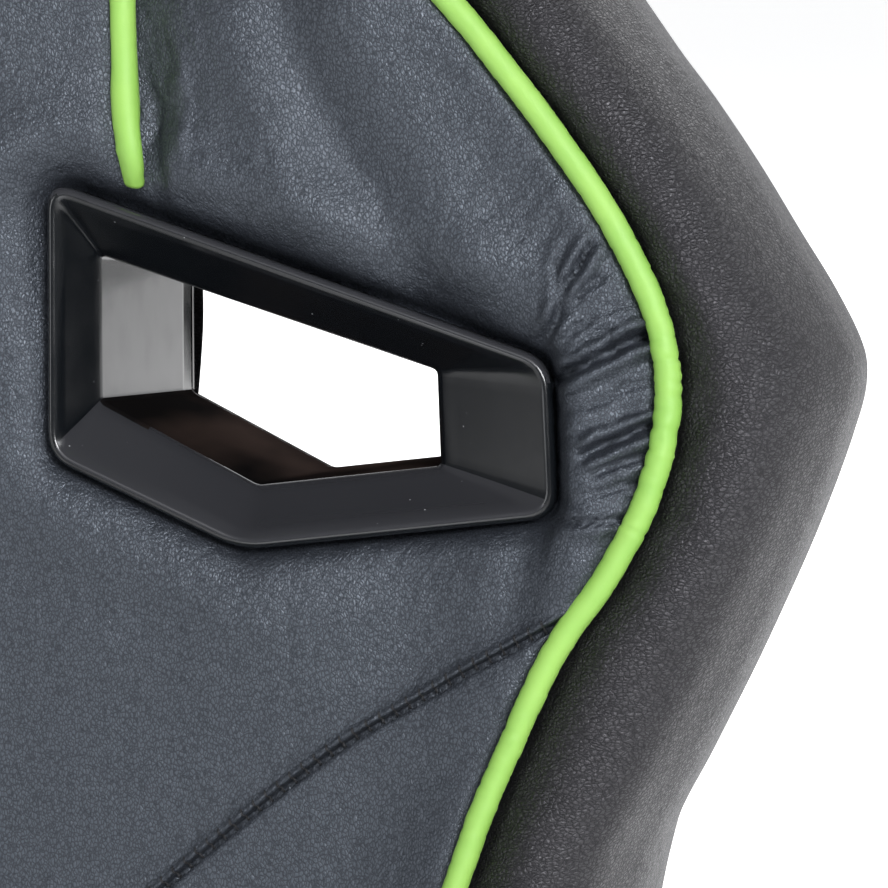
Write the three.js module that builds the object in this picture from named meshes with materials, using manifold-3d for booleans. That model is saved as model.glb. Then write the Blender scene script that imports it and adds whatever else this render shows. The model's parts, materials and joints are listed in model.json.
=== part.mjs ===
// A racing-style gaming chair on a five-star base with twin-wheel casters.
//
// Sizes are in millimetres. +Z is up, -Y is the way the sitter faces, and +X is to the sitter's left.
// The origin is on the floor, at the middle of the chair's bounding box.
// The backrest is modelled in its own group, whose origin is the recline hinge: there +Z runs up the back,
// -Y is its front face, and the group leans back by LEAN.

import * as THREE from "three";
import { mergeVertices } from "three/addons/utils/BufferGeometryUtils.js";
import Module from "manifold-3d";

const wasm = await Module();
wasm.setup();

// ---------- driving dimensions ----------

const COLUMN_Y = -48.2; // the gas lift's axis, from the middle of the bounding box
const CLEAR = 0.4; // gap between faces that touch on the real chair

const WHEEL_R = 30;
const WHEEL_W = 20;
const WHEEL_SIDES = 16;
const CASTER_TRAIL = 20; // axle behind the caster's stem
const CASTER_PLATE = 8; // the caster's body between its two wheels
const STEM_R = 5.5;

const LEGS = 5;
const LEG_REACH = 300; // column axis to caster stem
const LEG_TIP_Z = [68, 96];
const HUB_R = 42;
const HUB_Z = [88, 150];

const CYLINDER_R = 25;
const PISTON_R = 14;
const PISTON_TOP = 370;
const VALVE_PIN_R = 5; // the button on the piston that opens the gas valve

const SEAT_PLATE_Z = [388, 392];
const TILT_PIN = { y: -60, z: 374, r: 6 };
const BOLT_Y = -96; // tension bolt, in front of the column

const FRAME_Z = 408; // middle of the seat frame's tube
const FRAME_TUBE_R = 11;
const SEAT_HALF_W = 252;
const PAD_HALF_W = 170;
const SKIRT_X = 218; // inner face of the cover where it hangs down outside the seat frame
const SEAT_FRONT_Y = -262;

const ARM_X = 292;
const ARM_Y = 20;

const HINGE_Y = 215;
const HINGE_Z = 455;
const LEAN = THREE.MathUtils.degToRad(10);
const BACK_REAR = 54; // the back cushion's flat rear face, behind the hinge
const BACK_TUBE_R = 11;
const BACK_TUBE_Y = 12;

// Half the backrest's width and depth at heights above the hinge.
const BACK_HALF_W = [
  [8, 205], [60, 226], [140, 238], [240, 234], [340, 226], [400, 222], [441, 227], [497, 251],
  [540, 268], [562, 276], [578, 278], [594, 271], [630, 250], [664, 227], [700, 200], [740, 174],
  [780, 160], [815, 149], [838, 130], [852, 92],
];
const BACK_FRONT = [
  [8, 34], [60, 44], [120, 54], [200, 58], [300, 52], [420, 47], [520, 46], [640, 46],
  [740, 50], [800, 48], [852, 26],
];
const BOLSTER_RISE = [
  [8, 14], [60, 36], [160, 44], [260, 42], [360, 30], [470, 12], [575, 6], [660, 6],
  [740, 6], [852, 0],
];

// The belt slot on the sitter's left: its rim, and the lip of the tunnel inside it, as x and height.
const SLOT_RIM = [[200.5, 578], [202.5, 537], [116, 526.7], [61, 551], [61.5, 626.5]];
const SLOT_LIP = [[166, 575], [167, 549], [115, 543], [70, 566], [70, 606.5]];
const RIM_Y = -52; // crest of the front rim
const LIP_Y = -32;
const REAR_LIP_Y = 46;
const REAR_RIM_Y = 60;
const SLOT_SPLIT_Y = 8; // where the front and rear bezels meet inside the back

// ---------- materials ----------

const finish = (color, roughness, metalness = 0) =>
  new THREE.MeshStandardMaterial({ color, roughness, metalness });
const leather = finish(0x2b2c30, 0.48);
const nylon = finish(0x17181a, 0.5);
const gloss = finish(0x101214, 0.16);
const softPad = finish(0x1b1c1e, 0.75);
const steel = finish(0x1c1d20, 0.42, 0.6);
const chrome = finish(0xc9ccd0, 0.15, 1);
const tyre = finish(0x26272a, 0.6);
const webbing = finish(0x202124, 0.9);

// ---------- shape helpers ----------

// A smooth value at z through pairs of [z, value].
function along(pairs, z) {
  const last = pairs.length - 1;
  if (z <= pairs[0][0]) return pairs[0][1];
  if (z >= pairs[last][0]) return pairs[last][1];
  const slope = (i) => {
    const a = pairs[Math.max(i - 1, 0)];
    const b = pairs[Math.min(i + 1, last)];
    return (b[1] - a[1]) / (b[0] - a[0]);
  };
  const i = pairs.findIndex((p) => p[0] > z) - 1;
  const [z0, v0] = pairs[i];
  const [z1, v1] = pairs[i + 1];
  const span = z1 - z0;
  const t = (z - z0) / span;
  return (
    (2 * t ** 3 - 3 * t ** 2 + 1) * v0 +
    (t ** 3 - 2 * t ** 2 + t) * span * slope(i) +
    (3 * t ** 2 - 2 * t ** 3) * v1 +
    (t ** 3 - t ** 2) * span * slope(i + 1)
  );
}

const box = ([x0, x1], [y0, y1], [z0, z1]) =>
  new THREE.BoxGeometry(x1 - x0, y1 - y0, z1 - z0).translate((x0 + x1) / 2, (y0 + y1) / 2, (z0 + z1) / 2);

function cylinder(axis, r, from, to, at = [0, 0, 0], sides = 16) {
  const g = new THREE.CylinderGeometry(r, r, to - from, sides).translate(0, (from + to) / 2, 0);
  if (axis === "x") g.rotateZ(-Math.PI / 2);
  if (axis === "z") g.rotateX(Math.PI / 2);
  return g.translate(...at);
}

// A body of revolution about Z from [radius, z] points, listed anticlockwise with the radius to the right.
const turned = (profile, sides = 20) =>
  new THREE.LatheGeometry(profile.map((p) => new THREE.Vector2(...p)), sides).rotateX(Math.PI / 2);

// A tube of a round section along a smooth path of [x, y, z] points.
function tube(points, r, steps, sides = 6) {
  const section = new THREE.Shape();
  for (let i = 0; i < sides; i++) {
    const a = (2 * Math.PI * i) / sides;
    if (i) section.lineTo(r * Math.cos(a), r * Math.sin(a));
    else section.moveTo(r * Math.cos(a), r * Math.sin(a));
  }
  const extrudePath = new THREE.CatmullRomCurve3(points.map((p) => new THREE.Vector3(...p)), false, "centripetal");
  return new THREE.ExtrudeGeometry(section, { steps, bevelEnabled: false, extrudePath });
}

// A [y, z] outline drawn out along X.
function sidePlate(outline, [x0, x1]) {
  const shape = new THREE.Shape(outline.map((p) => new THREE.Vector2(...p)));
  const g = new THREE.ExtrudeGeometry(shape, { depth: x1 - x0, bevelEnabled: false });
  const yzx = new THREE.Matrix4().set(0, 0, 1, x0, 1, 0, 0, 0, 0, 1, 0, 0, 0, 0, 0, 1);
  return g.applyMatrix4(yzx);
}

function geometryOf(points, faces) {
  const g = new THREE.BufferGeometry();
  g.setAttribute("position", new THREE.Float32BufferAttribute(points.flat(), 3));
  g.setIndex(faces.flat());
  return outward(g);
}

// Turns the faces over if the closed surface is inside out.
function outward(g) {
  const p = g.getAttribute("position");
  const index = Array.from(g.index.array);
  const v = [0, 1, 2].map(() => new THREE.Vector3());
  let volume = 0;
  for (let i = 0; i < index.length; i += 3) {
    v.forEach((q, k) => q.fromBufferAttribute(p, index[i + k]));
    volume += v[0].dot(v[1].cross(v[2]));
  }
  if (volume < 0) {
    for (let i = 0; i < index.length; i += 3) [index[i], index[i + 1]] = [index[i + 1], index[i]];
    g.setIndex(index);
  }
  return g;
}

function sideFaces(rings, count, closed) {
  const faces = [];
  const last = closed ? rings : rings - 1;
  for (let r = 0; r < last; r++) {
    for (let i = 0; i < count; i++) {
      const j = (i + 1) % count;
      const a = r * count;
      const b = ((r + 1) % rings) * count;
      faces.push([a + i, a + j, b + j], [a + i, b + j, b + i]);
    }
  }
  return faces;
}

// A closed solid through loops of [x, y, z] points, one after another, with an end face on the first and last.
// flat names the two coordinates that the end faces are flattened to.
function loft(loops, flat) {
  const count = loops[0].length;
  const faces = sideFaces(loops.length, count, false);
  const endFaces = (loop) => {
    const contour = loop.map((p) => new THREE.Vector2(p[flat[0]], p[flat[1]]));
    const forward = THREE.ShapeUtils.area(contour) > 0;
    return THREE.ShapeUtils.triangulateShape(contour, []).map(([a, b, c]) => {
      const same = THREE.ShapeUtils.area([contour[a], contour[b], contour[c]]) > 0 === forward;
      return same ? [a, b, c] : [a, c, b];
    });
  };
  const start = (loops.length - 1) * count;
  endFaces(loops[0]).forEach(([a, b, c]) => faces.push([c, b, a]));
  endFaces(loops[loops.length - 1]).forEach(([a, b, c]) => faces.push([start + a, start + b, start + c]));
  return geometryOf(loops.flat(), faces);
}

// A closed ring, such as a frame round a hole: the last loop joins the first.
const ring = (loops) => geometryOf(loops.flat(), sideFaces(loops.length, loops[0].length, true));

function solid(geometry) {
  const g = geometry.clone();
  g.deleteAttribute("normal");
  g.deleteAttribute("uv");
  const merged = mergeVertices(g, 1e-3);
  return new wasm.Manifold(
    new wasm.Mesh({
      numProp: 3,
      vertProperties: merged.getAttribute("position").array,
      triVerts: new Uint32Array(merged.index.array),
    }),
  );
}

function geometry(made) {
  const m = made.getMesh();
  const points = new Float32Array(m.numVert * 3);
  for (let i = 0; i < m.numVert; i++) points.set(m.vertProperties.subarray(i * m.numProp, i * m.numProp + 3), i * 3);
  return new THREE.BufferGeometry()
    .setAttribute("position", new THREE.BufferAttribute(points, 3))
    .setIndex(new THREE.BufferAttribute(m.triVerts, 1));
}

const join = (...parts) => geometry(parts.map(solid).reduce((a, b) => a.add(b)));
const cut = (body, ...cutters) => geometry(cutters.map(solid).reduce((a, b) => a.subtract(b), solid(body)));

function add(group, name, shape, material) {
  const mesh = new THREE.Mesh(shape, material);
  mesh.name = name;
  group.add(mesh);
  return mesh;
}

// The shape on the sitter's left, and its mirror image on the right.
function addPair(group, name, shape, material) {
  add(group, name + "_left", shape, material);
  add(group, name + "_right", shape, material).scale.x = -1;
}

// ---------- five-star base ----------

function legBlock(inset, lift) {
  const section = (x, half, z0, z1) => [
    [x, -half + inset, z0], [x, half - inset, z0],
    [x, 0.72 * half - inset, z1], [x, -0.72 * half + inset, z1],
  ];
  const top = -inset;
  return loft(
    [
      section(20, 30, HUB_Z[0] + lift, HUB_Z[1] - 4 + top),
      section(150, 24, 78 + lift, 126 + top),
      section(LEG_REACH - 6, 18, LEG_TIP_Z[0] + lift, LEG_TIP_Z[1] + top),
    ],
    [1, 2],
  );
}

function starBase() {
  const pocket = legBlock(4, -30);
  const keep = join(
    cylinder("z", HUB_R, HUB_Z[0], HUB_Z[1], [0, 0, 0], 15),
    cylinder("z", 18, LEG_TIP_Z[0], LEG_TIP_Z[1] + 3, [LEG_REACH, 0, 0], 12),
  );
  const leg = join(cut(legBlock(0, 0), pocket), keep);
  const stemHole = cylinder("z", STEM_R + 2 * CLEAR, 40, 92, [LEG_REACH, 0, 0], 8);
  const drilled = cut(leg, stemHole);
  const legs = legAngles().map((a) => drilled.clone().rotateZ(a));
  return cut(join(...legs), cylinder("z", CYLINDER_R + 2 * CLEAR, 0, 200, [0, 0, 0], 20));
}

const legAngles = () => Array.from({ length: LEGS }, (_, i) => -Math.PI / 2 + (2 * Math.PI * i) / LEGS);

// ---------- casters ----------

function casterFork() {
  const hood = [];
  const axle = [CASTER_TRAIL, WHEEL_R];
  const arc = (r, from, to, n) => {
    for (let i = 0; i <= n; i++) {
      const a = THREE.MathUtils.degToRad(from + ((to - from) * i) / n);
      hood.push([axle[0] + r * Math.cos(a), axle[1] + r * Math.sin(a)]);
    }
  };
  arc(WHEEL_R + 5, 8, 158, 6);
  arc(WHEEL_R + 2.2, 158, 8, 6);
  const half = CASTER_PLATE / 2;
  const width = half + WHEEL_W + 1;
  return join(
    sidePlate(hood, [-width, width]),
    sidePlate([[-10, 54], [-6, 40], [12, 18], [30, 16], [44, 32], [42, 52], [20, 64], [-10, 64]], [-half, half]),
    cylinder("x", 4, -width, width, [0, ...axle], 8),
    cylinder("z", 11, 62, 66.5, [0, 0, 0], 12),
    cylinder("z", STEM_R, 60, 90, [0, 0, 0], 8),
  );
}

function casterWheel() {
  const outer = WHEEL_R / Math.cos(Math.PI / WHEEL_SIDES); // so that its flats reach the floor
  const w0 = CASTER_PLATE / 2 + 0.5;
  const w1 = w0 + WHEEL_W - 0.5;
  const profile = [
    [4.6, w0], [outer - 2, w0], [outer, w0 + 2], [outer, w1 - 4], [outer - 3, w1], [4.6, w1], [4.6, w0],
  ];
  return turned(profile, WHEEL_SIDES)
    .rotateZ(Math.PI / WHEEL_SIDES)
    .rotateY(Math.PI / 2)
    .rotateX(Math.PI / 2)
    .translate(0, CASTER_TRAIL, WHEEL_R);
}

function addCasters(group) {
  const fork = casterFork();
  const wheel = casterWheel();
  legAngles().forEach((a, i) => {
    const caster = new THREE.Group();
    caster.position.set(LEG_REACH * Math.cos(a), LEG_REACH * Math.sin(a), 0);
    group.add(caster);
    add(caster, `caster_${i + 1}_fork`, fork, nylon);
    addPair(caster, `caster_${i + 1}_wheel`, wheel, tyre);
  });
}

// ---------- gas lift and its telescopic cover ----------

const gasCylinder = () =>
  turned([[0, 72], [20, 72], [CYLINDER_R, 84], [CYLINDER_R, 285], [PISTON_R + 0.6, 285], [PISTON_R + 0.6, 112], [0, 112]]);

const gasPiston = () =>
  turned([
    [0, 140], [PISTON_R, 140], [PISTON_R, 350], [12.5, PISTON_TOP - 4], [VALVE_PIN_R, PISTON_TOP - 4],
    [VALVE_PIN_R, PISTON_TOP], [0, PISTON_TOP],
  ]);

const coverTube = (outer, inner, z0, z1, flange = 0) =>
  turned([
    [inner, z0], [outer + flange, z0], [outer + flange, z0 + 5], [outer, z0 + 7],
    [outer - 0.8, z1], [inner, z1], [inner, z0],
  ]);

// ---------- tilt mechanism ----------

function mechanismHousing() {
  const side = [
    [-116, 352], [-80, 352], [-76, 346], [72, 346], [72, 360], [-46, 383.5], [-84, 383.5], [-116, 366],
  ];
  return cut(
    sidePlate(side, [-52, 52]),
    cylinder("z", PISTON_R + CLEAR, 300, 373, [0, 0, 0], 24),
    cylinder("z", 8, 370, 400, [0, 0, 0], 16),
    cylinder("x", TILT_PIN.r + CLEAR, -80, 80, [0, TILT_PIN.y, TILT_PIN.z], 16),
    cylinder("z", 10.5, 340, 400, [0, BOLT_Y, 0], 16),
  );
}

function seatPlate() {
  const cheek = (x0, x1) => sidePlate([[-78, 362], [-42, 362], [-36, 390], [-84, 390]], [x0, x1]);
  return cut(
    join(box([-98, 98], [-120, 120], SEAT_PLATE_Z), cheek(55, 59), cheek(-59, -55)),
    cylinder("x", TILT_PIN.r + CLEAR, -80, 80, [0, TILT_PIN.y, TILT_PIN.z], 16),
    cylinder("z", 12, 380, 400, [0, 0, 0], 16),
  );
}

const tiltPin = () => cylinder("x", TILT_PIN.r, -63, 63, [0, TILT_PIN.y, TILT_PIN.z], 16);

const tensionBolt = () =>
  join(
    cylinder("z", 4, 292, SEAT_PLATE_Z[0] - CLEAR, [0, BOLT_Y, 0], 12),
    cylinder("z", 9, SEAT_PLATE_Z[0] - 4, SEAT_PLATE_Z[0] - CLEAR, [0, BOLT_Y, 0], 6),
  );

function tensionSpring() {
  const turns = 4;
  const r = 12;
  const [z0, z1] = [327, 350];
  const n = turns * 7;
  const points = Array.from({ length: n + 1 }, (_, i) => {
    const a = (2 * Math.PI * turns * i) / n;
    return [r * Math.cos(a), BOLT_Y + r * Math.sin(a), z0 + ((z1 - z0) * i) / n];
  });
  return tube(points, 1.6, n, 4);
}

function tensionKnob() {
  const lobes = 6;
  const body = turned([[0, 298], [22, 298], [28, 303], [28, 318], [20, 323], [0, 323]]).translate(0, BOLT_Y, 0);
  const flutes = Array.from({ length: lobes }, (_, i) => {
    const a = (2 * Math.PI * i) / lobes;
    return cylinder("z", 5, 290, 330, [31 * Math.cos(a), BOLT_Y + 31 * Math.sin(a), 0], 6);
  });
  return cut(body, ...flutes, cylinder("z", 4.5, 280, 340, [0, BOLT_Y, 0], 12));
}

function lever() {
  const rod = tube([[53.5, -20, 361], [90, -20, 357], [150, -20, 349], [196, -20, 344]], 4.5, 10);
  const paddle = loft(
    [[188, 6, 4.5], [200, 11, 5], [246, 16, 3.5], [254, 10, 2]].map(([x, half, thick]) => {
      const z = 345 - (x - 188) * 0.06;
      return [
        [x, -20 - half, z], [x, -20 - 0.6 * half, z - thick], [x, -20 + 0.6 * half, z - thick],
        [x, -20 + half, z], [x, -20 + 0.6 * half, z + thick], [x, -20 - 0.6 * half, z + thick],
      ];
    }),
    [1, 2],
  );
  return join(rod, paddle);
}

// ---------- seat ----------

function seatFrame() {
  const [x, front, rear, bend] = [205, -212, 186, 46];
  const path = [
    [x, rear - 2, FRAME_Z], [x, 60, FRAME_Z], [x, front + bend, FRAME_Z], [x - 14, front + 14, FRAME_Z],
    [x - bend, front, FRAME_Z], [0, front, FRAME_Z], [-x + bend, front, FRAME_Z], [-x + 14, front + 14, FRAME_Z],
    [-x, front + bend, FRAME_Z], [-x, 60, FRAME_Z], [-x, rear - 2, FRAME_Z],
  ];
  const rail = (y) => box([-x, x], [y - 15, y + 15], [SEAT_PLATE_Z[1] + CLEAR, 401]);
  return join(
    tube(path, FRAME_TUBE_R, 30),
    cylinder("x", FRAME_TUBE_R, -x, x, [0, rear - 8, FRAME_Z], 8),
    rail(-92),
    rail(92),
  );
}

const seatWebbing = () => box([-190, 190], [-196, 168], [FRAME_Z + FRAME_TUBE_R + CLEAR, 422]);

function seatCushion() {
  const profile = [
    [-228, 422.5], [-231, 402], [-250, 402], [-264, 424], [SEAT_FRONT_Y, 456], [-242, 479], [-205, 490],
    [-120, 491], [0, 487], [100, 485], [146, 482], [160, 468], [162, 440], [156, 422.5],
  ];
  return sidePlate(profile, [-PAD_HALF_W, PAD_HALF_W]);
}

function seatBolster() {
  const inner = PAD_HALF_W + CLEAR;
  const section = (y, top, outer, bottom) => {
    const crease = Math.min(top - 10, 493); // where the bolster's slope meets the middle of the seat
    return [
      [inner, y, 422.5], [SKIRT_X, y, 422.5], [SKIRT_X + 1, y, bottom], [outer - 6, y, bottom],
      [outer, y, bottom + 12], [outer, y, top - 42], [outer - 9, y, top - 14], [outer - 30, y, top],
      [outer - 54, y, top - 4], [inner + 7, y, crease], [inner, y, crease - 9],
    ];
  };
  return loft(
    [
      section(SEAT_FRONT_Y + 4, 466, 240, 408), section(-244, 488, 248, 401), section(-190, 508, SEAT_HALF_W, 398),
      section(-60, 526, SEAT_HALF_W, 398), section(40, 526, SEAT_HALF_W, 398), section(88, 508, 246, 398),
      section(104, 494, 237, 398), section(150, 472, 237, 398),
    ],
    [0, 2],
  );
}

// ---------- recline hinges ----------

const arcPoints = (y, z, r, from, to, n) =>
  Array.from({ length: n + 1 }, (_, i) => {
    const a = THREE.MathUtils.degToRad(from + ((to - from) * i) / n);
    return [y + r * Math.cos(a), z + r * Math.sin(a)];
  });

// On the seat: an upright plate with a foot under the seat frame and a hole for the hinge's stub.
function seatHingeBracket() {
  const plate = sidePlate([[112, 391], [200, 391], ...arcPoints(HINGE_Y, HINGE_Z, 34, -60, 120, 8), [112, 420]], [241, 245]);
  const foot = box([192, 243], [112, 160], [390.6, 396.5]);
  return cut(join(plate, foot), cylinder("x", 12.6, 220, 260, [0, HINGE_Y, HINGE_Z]));
}

// On the back, in the back's own frame: a disc and arm, a stub through the seat's plate, and two bosses into the frame.
function backHingeBracket() {
  const plate = sidePlate([...arcPoints(0, 0, 32, 150, 390, 12), [17, 60], [14, 150], [-10, 150], [-14, 60]], [246, 250]);
  return join(
    plate,
    cylinder("x", 12, 234, 248),
    ...BOSS_Z.map((z) => cylinder("x", 5, 223, 248, [0, BACK_TUBE_Y, z], 10)),
  );
}

const BOSS_Z = [70, 130];

function hingeCover() {
  const outline = [[112, 404], [190, 404], ...arcPoints(HINGE_Y, HINGE_Z, 46, -70, 110, 9), [160, 488], [112, 452]];
  const shell = sidePlate(outline, [251, 266]);
  const leg = box([246, 252], [116, 146], [406, 436]);
  return cut(join(shell, leg), cylinder("x", 6.5, 255, 270, [0, LEVER_AT.y, LEVER_AT.z], 12));
}

const LEVER_AT = { y: 176, z: 442 };

function reclineLever() {
  const { y, z } = LEVER_AT;
  const outline = [
    ...arcPoints(y, z, 15, -80, 100, 6), [150, 462], [104, 466], [76, 462], [72, 453], [80, 447], [110, 450], [150, 440],
  ];
  return join(sidePlate(outline, [267, 276]), cylinder("x", 6, 257, 270, [0, y, z], 12));
}

// ---------- armrests ----------

const armRange = (centre, half) => [centre - half, centre + half];

const armBracket = () =>
  join(
    box([112, 275.4], armRange(ARM_Y, 28), [390.4, 396.4]),
    box([269.4, 275.4], armRange(ARM_Y, 28), [390.4, 486]),
  );

function armSleeve() {
  const outer = loft(
    [[402, 0], [410, 3], [560, 3], [590, 0]].map(([z, grow]) => roundedBox(ARM_X, ARM_Y, 13 + grow, 27 + grow, 8, z)),
    [0, 1],
  );
  return cut(
    outer,
    box(armRange(ARM_X, 11.3), armRange(ARM_Y, 24.8), [432, 600]),
    box([304.2, 320], armRange(ARM_Y, 12.4), [557.6, 570.4]),
  );
}

// A rounded rectangle as a loop at height z.
function roundedBox(x, y, halfX, halfY, r, z, steps = 3) {
  const loop = [];
  [[1, 1], [-1, 1], [-1, -1], [1, -1]].forEach(([sx, sy], corner) => {
    for (let i = 0; i <= steps; i++) {
      const a = (Math.PI / 2) * (corner + i / steps);
      loop.push([x + sx * (halfX - r) + r * Math.cos(a), y + sy * (halfY - r) + r * Math.sin(a), z]);
    }
  });
  return loop;
}

const armPost = () => box(armRange(ARM_X, 10.5), armRange(ARM_Y, 24), [450, 655]);

const armButton = () => box([307.4, 312], armRange(ARM_Y, 12), [558, 570]);

const armPadBase = () =>
  loft([[655.4, 0], [663, 6]].map(([z, grow]) => roundedBox(ARM_X, ARM_Y - 12, 30 + grow, 78 + grow, 14, z)), [0, 1]);

function armPad() {
  const levels = [[663.4, 38], [668, 44], [680, 45], [688, 41], [690, 36]];
  return loft(levels.map(([z, half]) => roundedBox(ARM_X, ARM_Y - 16, half, half + 78, 30, z)), [0, 1]);
}

// ---------- backrest ----------

const backHalfWidth = (z) => along(BACK_HALF_W, z);

// How far the front face stands in front of the hinge, at a share of the half-width from the middle.
function backFront(share, z) {
  const rise = THREE.MathUtils.smoothstep(share, 0.62, 0.86) * along(BOLSTER_RISE, z);
  const fall = 1 - Math.sqrt(Math.max(0, 1 - Math.max(0, (share - 0.8) / 0.2) ** 2));
  return (along(BACK_FRONT, z) + rise) * (1 - 0.9 * fall);
}

function backLoop(z) {
  const w = backHalfWidth(z);
  const front = [0.3, 0.55, 0.68, 0.78, 0.86, 0.94].map((s) => [s * w, -backFront(s, z)]);
  const depth = BACK_REAR * Math.min(1, 0.55 + (852 - z) / 60);
  const rear = [[w, 4], [0.97 * w, 0.7 * depth], [0.88 * w, depth]];
  const half = [...front, ...rear];
  const other = half.map(([x, y]) => [-x, y]).reverse();
  return [...half, ...other].map(([x, y]) => [x, y, z]);
}

const BACK_LEVELS = [
  8, 40, 90, 150, 220, 300, 370, 420, 455, 490, 520, 545, 562, 578, 594, 612, 640, 670, 700, 740, 780, 815, 838, 852,
];

const backTubePath = () => {
  const half = [
    [205, 2], [208, 80], [209, 160], [205, 260], [199, 350], [206, 440], [226, 505], [240, 560],
    [232, 606], [204, 655], [158, 715], [126, 765], [88, 802], [40, 818],
  ];
  const other = half.map(([x, z]) => [-x, z]).reverse();
  return [...half, ...other].map(([x, z]) => [x, BACK_TUBE_Y, z]);
};

// The steel frame inside the back: a bent tube and two crossbars. grow makes the hollow for it in the foam.
function backFrame(grow = 0) {
  const bar = (z, x) => cylinder("x", 9 + grow, -x, x, [0, BACK_TUBE_Y, z], 8);
  return join(tube(backTubePath(), BACK_TUBE_R + grow, 30), bar(494, 222), bar(100, 209));
}

// The corners moved outwards by a distance, in x and z; a negative distance moves them inwards.
function offset(corners, distance) {
  const n = corners.length;
  const edge = (i) => {
    const [x0, z0] = corners[i % n];
    const [x1, z1] = corners[(i + 1) % n];
    const long = Math.hypot(x1 - x0, z1 - z0);
    const normal = [-(z1 - z0) / long, (x1 - x0) / long];
    return { normal, at: normal[0] * x0 + normal[1] * z0 + distance };
  };
  return corners.map((_, i) => {
    const [a, b] = [edge(i + n - 1), edge(i)];
    const det = a.normal[0] * b.normal[1] - a.normal[1] * b.normal[0];
    return [
      (a.at * b.normal[1] - b.at * a.normal[1]) / det,
      (a.normal[0] * b.at - b.normal[0] * a.at) / det,
    ];
  });
}

// A loop round the corners at depth y, each corner rounded with radius r.
function slotLoop(corners, y, r, steps = 2) {
  const n = corners.length;
  return corners.flatMap((corner, i) => {
    const c = new THREE.Vector2(...corner);
    const before = new THREE.Vector2(...corners[(i + n - 1) % n]).sub(c).normalize().multiplyScalar(r).add(c);
    const after = new THREE.Vector2(...corners[(i + 1) % n]).sub(c).normalize().multiplyScalar(r).add(c);
    const bend = new THREE.QuadraticBezierCurve(before, c, after);
    return bend.getPoints(steps).map((p) => [p.x, y, p.y]);
  });
}

// A bezel: a funnel from the rim down to the lip, then the tunnel's wall to its end. side is -1 in front, 1 behind.
function bezel(rimY, lipY, endY, side) {
  const wall = 2.5;
  return ring([
    slotLoop(SLOT_RIM, rimY - side * 3, 7),
    slotLoop(SLOT_RIM, rimY - side * 1.2, 7),
    slotLoop(offset(SLOT_RIM, -1.6), rimY, 6),
    slotLoop(SLOT_LIP, lipY, 3),
    slotLoop(SLOT_LIP, endY, 3),
    slotLoop(offset(SLOT_LIP, wall), endY, 4),
    slotLoop(offset(SLOT_LIP, wall), lipY - side * 4, 4),
    slotLoop(offset(SLOT_RIM, -3.5), rimY - side * 3, 5),
  ]);
}

// The hole that both bezels need, through the whole back.
function slotHole() {
  return loft(
    [
      slotLoop(offset(SLOT_RIM, 1), -140, 7), slotLoop(offset(SLOT_RIM, 1), RIM_Y + 4.2, 7),
      slotLoop(offset(SLOT_RIM, -1.8), RIM_Y + 4.4, 6), slotLoop(offset(SLOT_LIP, 4), LIP_Y + 5, 4),
      slotLoop(offset(SLOT_LIP, 4), REAR_LIP_Y - 5, 4), slotLoop(offset(SLOT_RIM, -1.8), REAR_RIM_Y - 3.4, 6),
      slotLoop(offset(SLOT_RIM, -1.8), 140, 6),
    ],
    [0, 2],
  );
}

const mirrored = (g) => {
  const m = geometry(solid(g)).scale(-1, 1, 1);
  return outward(m);
};

function backCushion() {
  const body = loft(BACK_LEVELS.map(backLoop), [0, 1]);
  const hole = slotHole();
  const bosses = BOSS_Z.flatMap((z) =>
    [cylinder("x", 6.5, 205, 270, [0, BACK_TUBE_Y, z], 8), cylinder("x", 6.5, -270, -205, [0, BACK_TUBE_Y, z], 8)]);
  return cut(body, hole, mirrored(hole), backFrame(1.5), ...bosses);
}

function backRearPanel() {
  const levels = [22, 90, 220, 340, 420, 470, 520, 562, 578, 600, 640, 690, 740, 790, 820];
  const loop = (z) => {
    const w = 0.8 * backHalfWidth(z);
    const [y0, y1] = [BACK_REAR + CLEAR, BACK_REAR + 2.8];
    return [[-w, y0, z], [w, y0, z], [w, y1, z], [-w, y1, z]];
  };
  const hole = slotHole();
  return cut(loft(levels.map(loop), [0, 1]), hole, mirrored(hole));
}

// ---------- assembly ----------

const chair = new THREE.Group();
const standing = new THREE.Group();
standing.position.y = COLUMN_Y;
chair.add(standing);

add(standing, "star_base", starBase(), nylon);
addCasters(standing);

add(standing, "gas_cylinder", gasCylinder(), steel);
add(standing, "gas_piston", gasPiston(), chrome);
add(standing, "lift_cover_lower", coverTube(38, 36, HUB_Z[1] + CLEAR, 236, 7), nylon);
add(standing, "lift_cover_middle", coverTube(35, 33, 160, 290), nylon);
add(standing, "lift_cover_upper", coverTube(32, 30, 216, 345 - CLEAR), nylon);

add(standing, "mechanism_housing", mechanismHousing(), steel);
add(standing, "tilt_pin", tiltPin(), chrome);
add(standing, "tension_spring", tensionSpring(), chrome);
add(standing, "tension_bolt", tensionBolt(), chrome);
add(standing, "tension_knob", tensionKnob(), nylon);
add(standing, "tilt_lock_lever", lever(), nylon);
add(standing, "height_lever", lever(), nylon).scale.x = -1;

add(standing, "seat_plate", seatPlate(), steel);
add(standing, "seat_frame", seatFrame(), steel);
add(standing, "seat_webbing", seatWebbing(), webbing);
add(standing, "seat_cushion", seatCushion(), leather);
addPair(standing, "seat_bolster", seatBolster(), leather);
addPair(standing, "seat_hinge_bracket", seatHingeBracket(), steel);
addPair(standing, "hinge_cover", hingeCover(), nylon);
add(standing, "recline_lever", reclineLever(), nylon).scale.x = -1;

addPair(standing, "arm_bracket", armBracket(), steel);
addPair(standing, "arm_sleeve", armSleeve(), nylon);
addPair(standing, "arm_post", armPost(), steel);
addPair(standing, "arm_button", armButton(), nylon);
addPair(standing, "arm_pad_base", armPadBase(), nylon);
addPair(standing, "arm_pad", armPad(), softPad);

const back = new THREE.Group();
back.position.set(0, HINGE_Y, HINGE_Z);
back.rotation.x = -LEAN;
standing.add(back);

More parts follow.
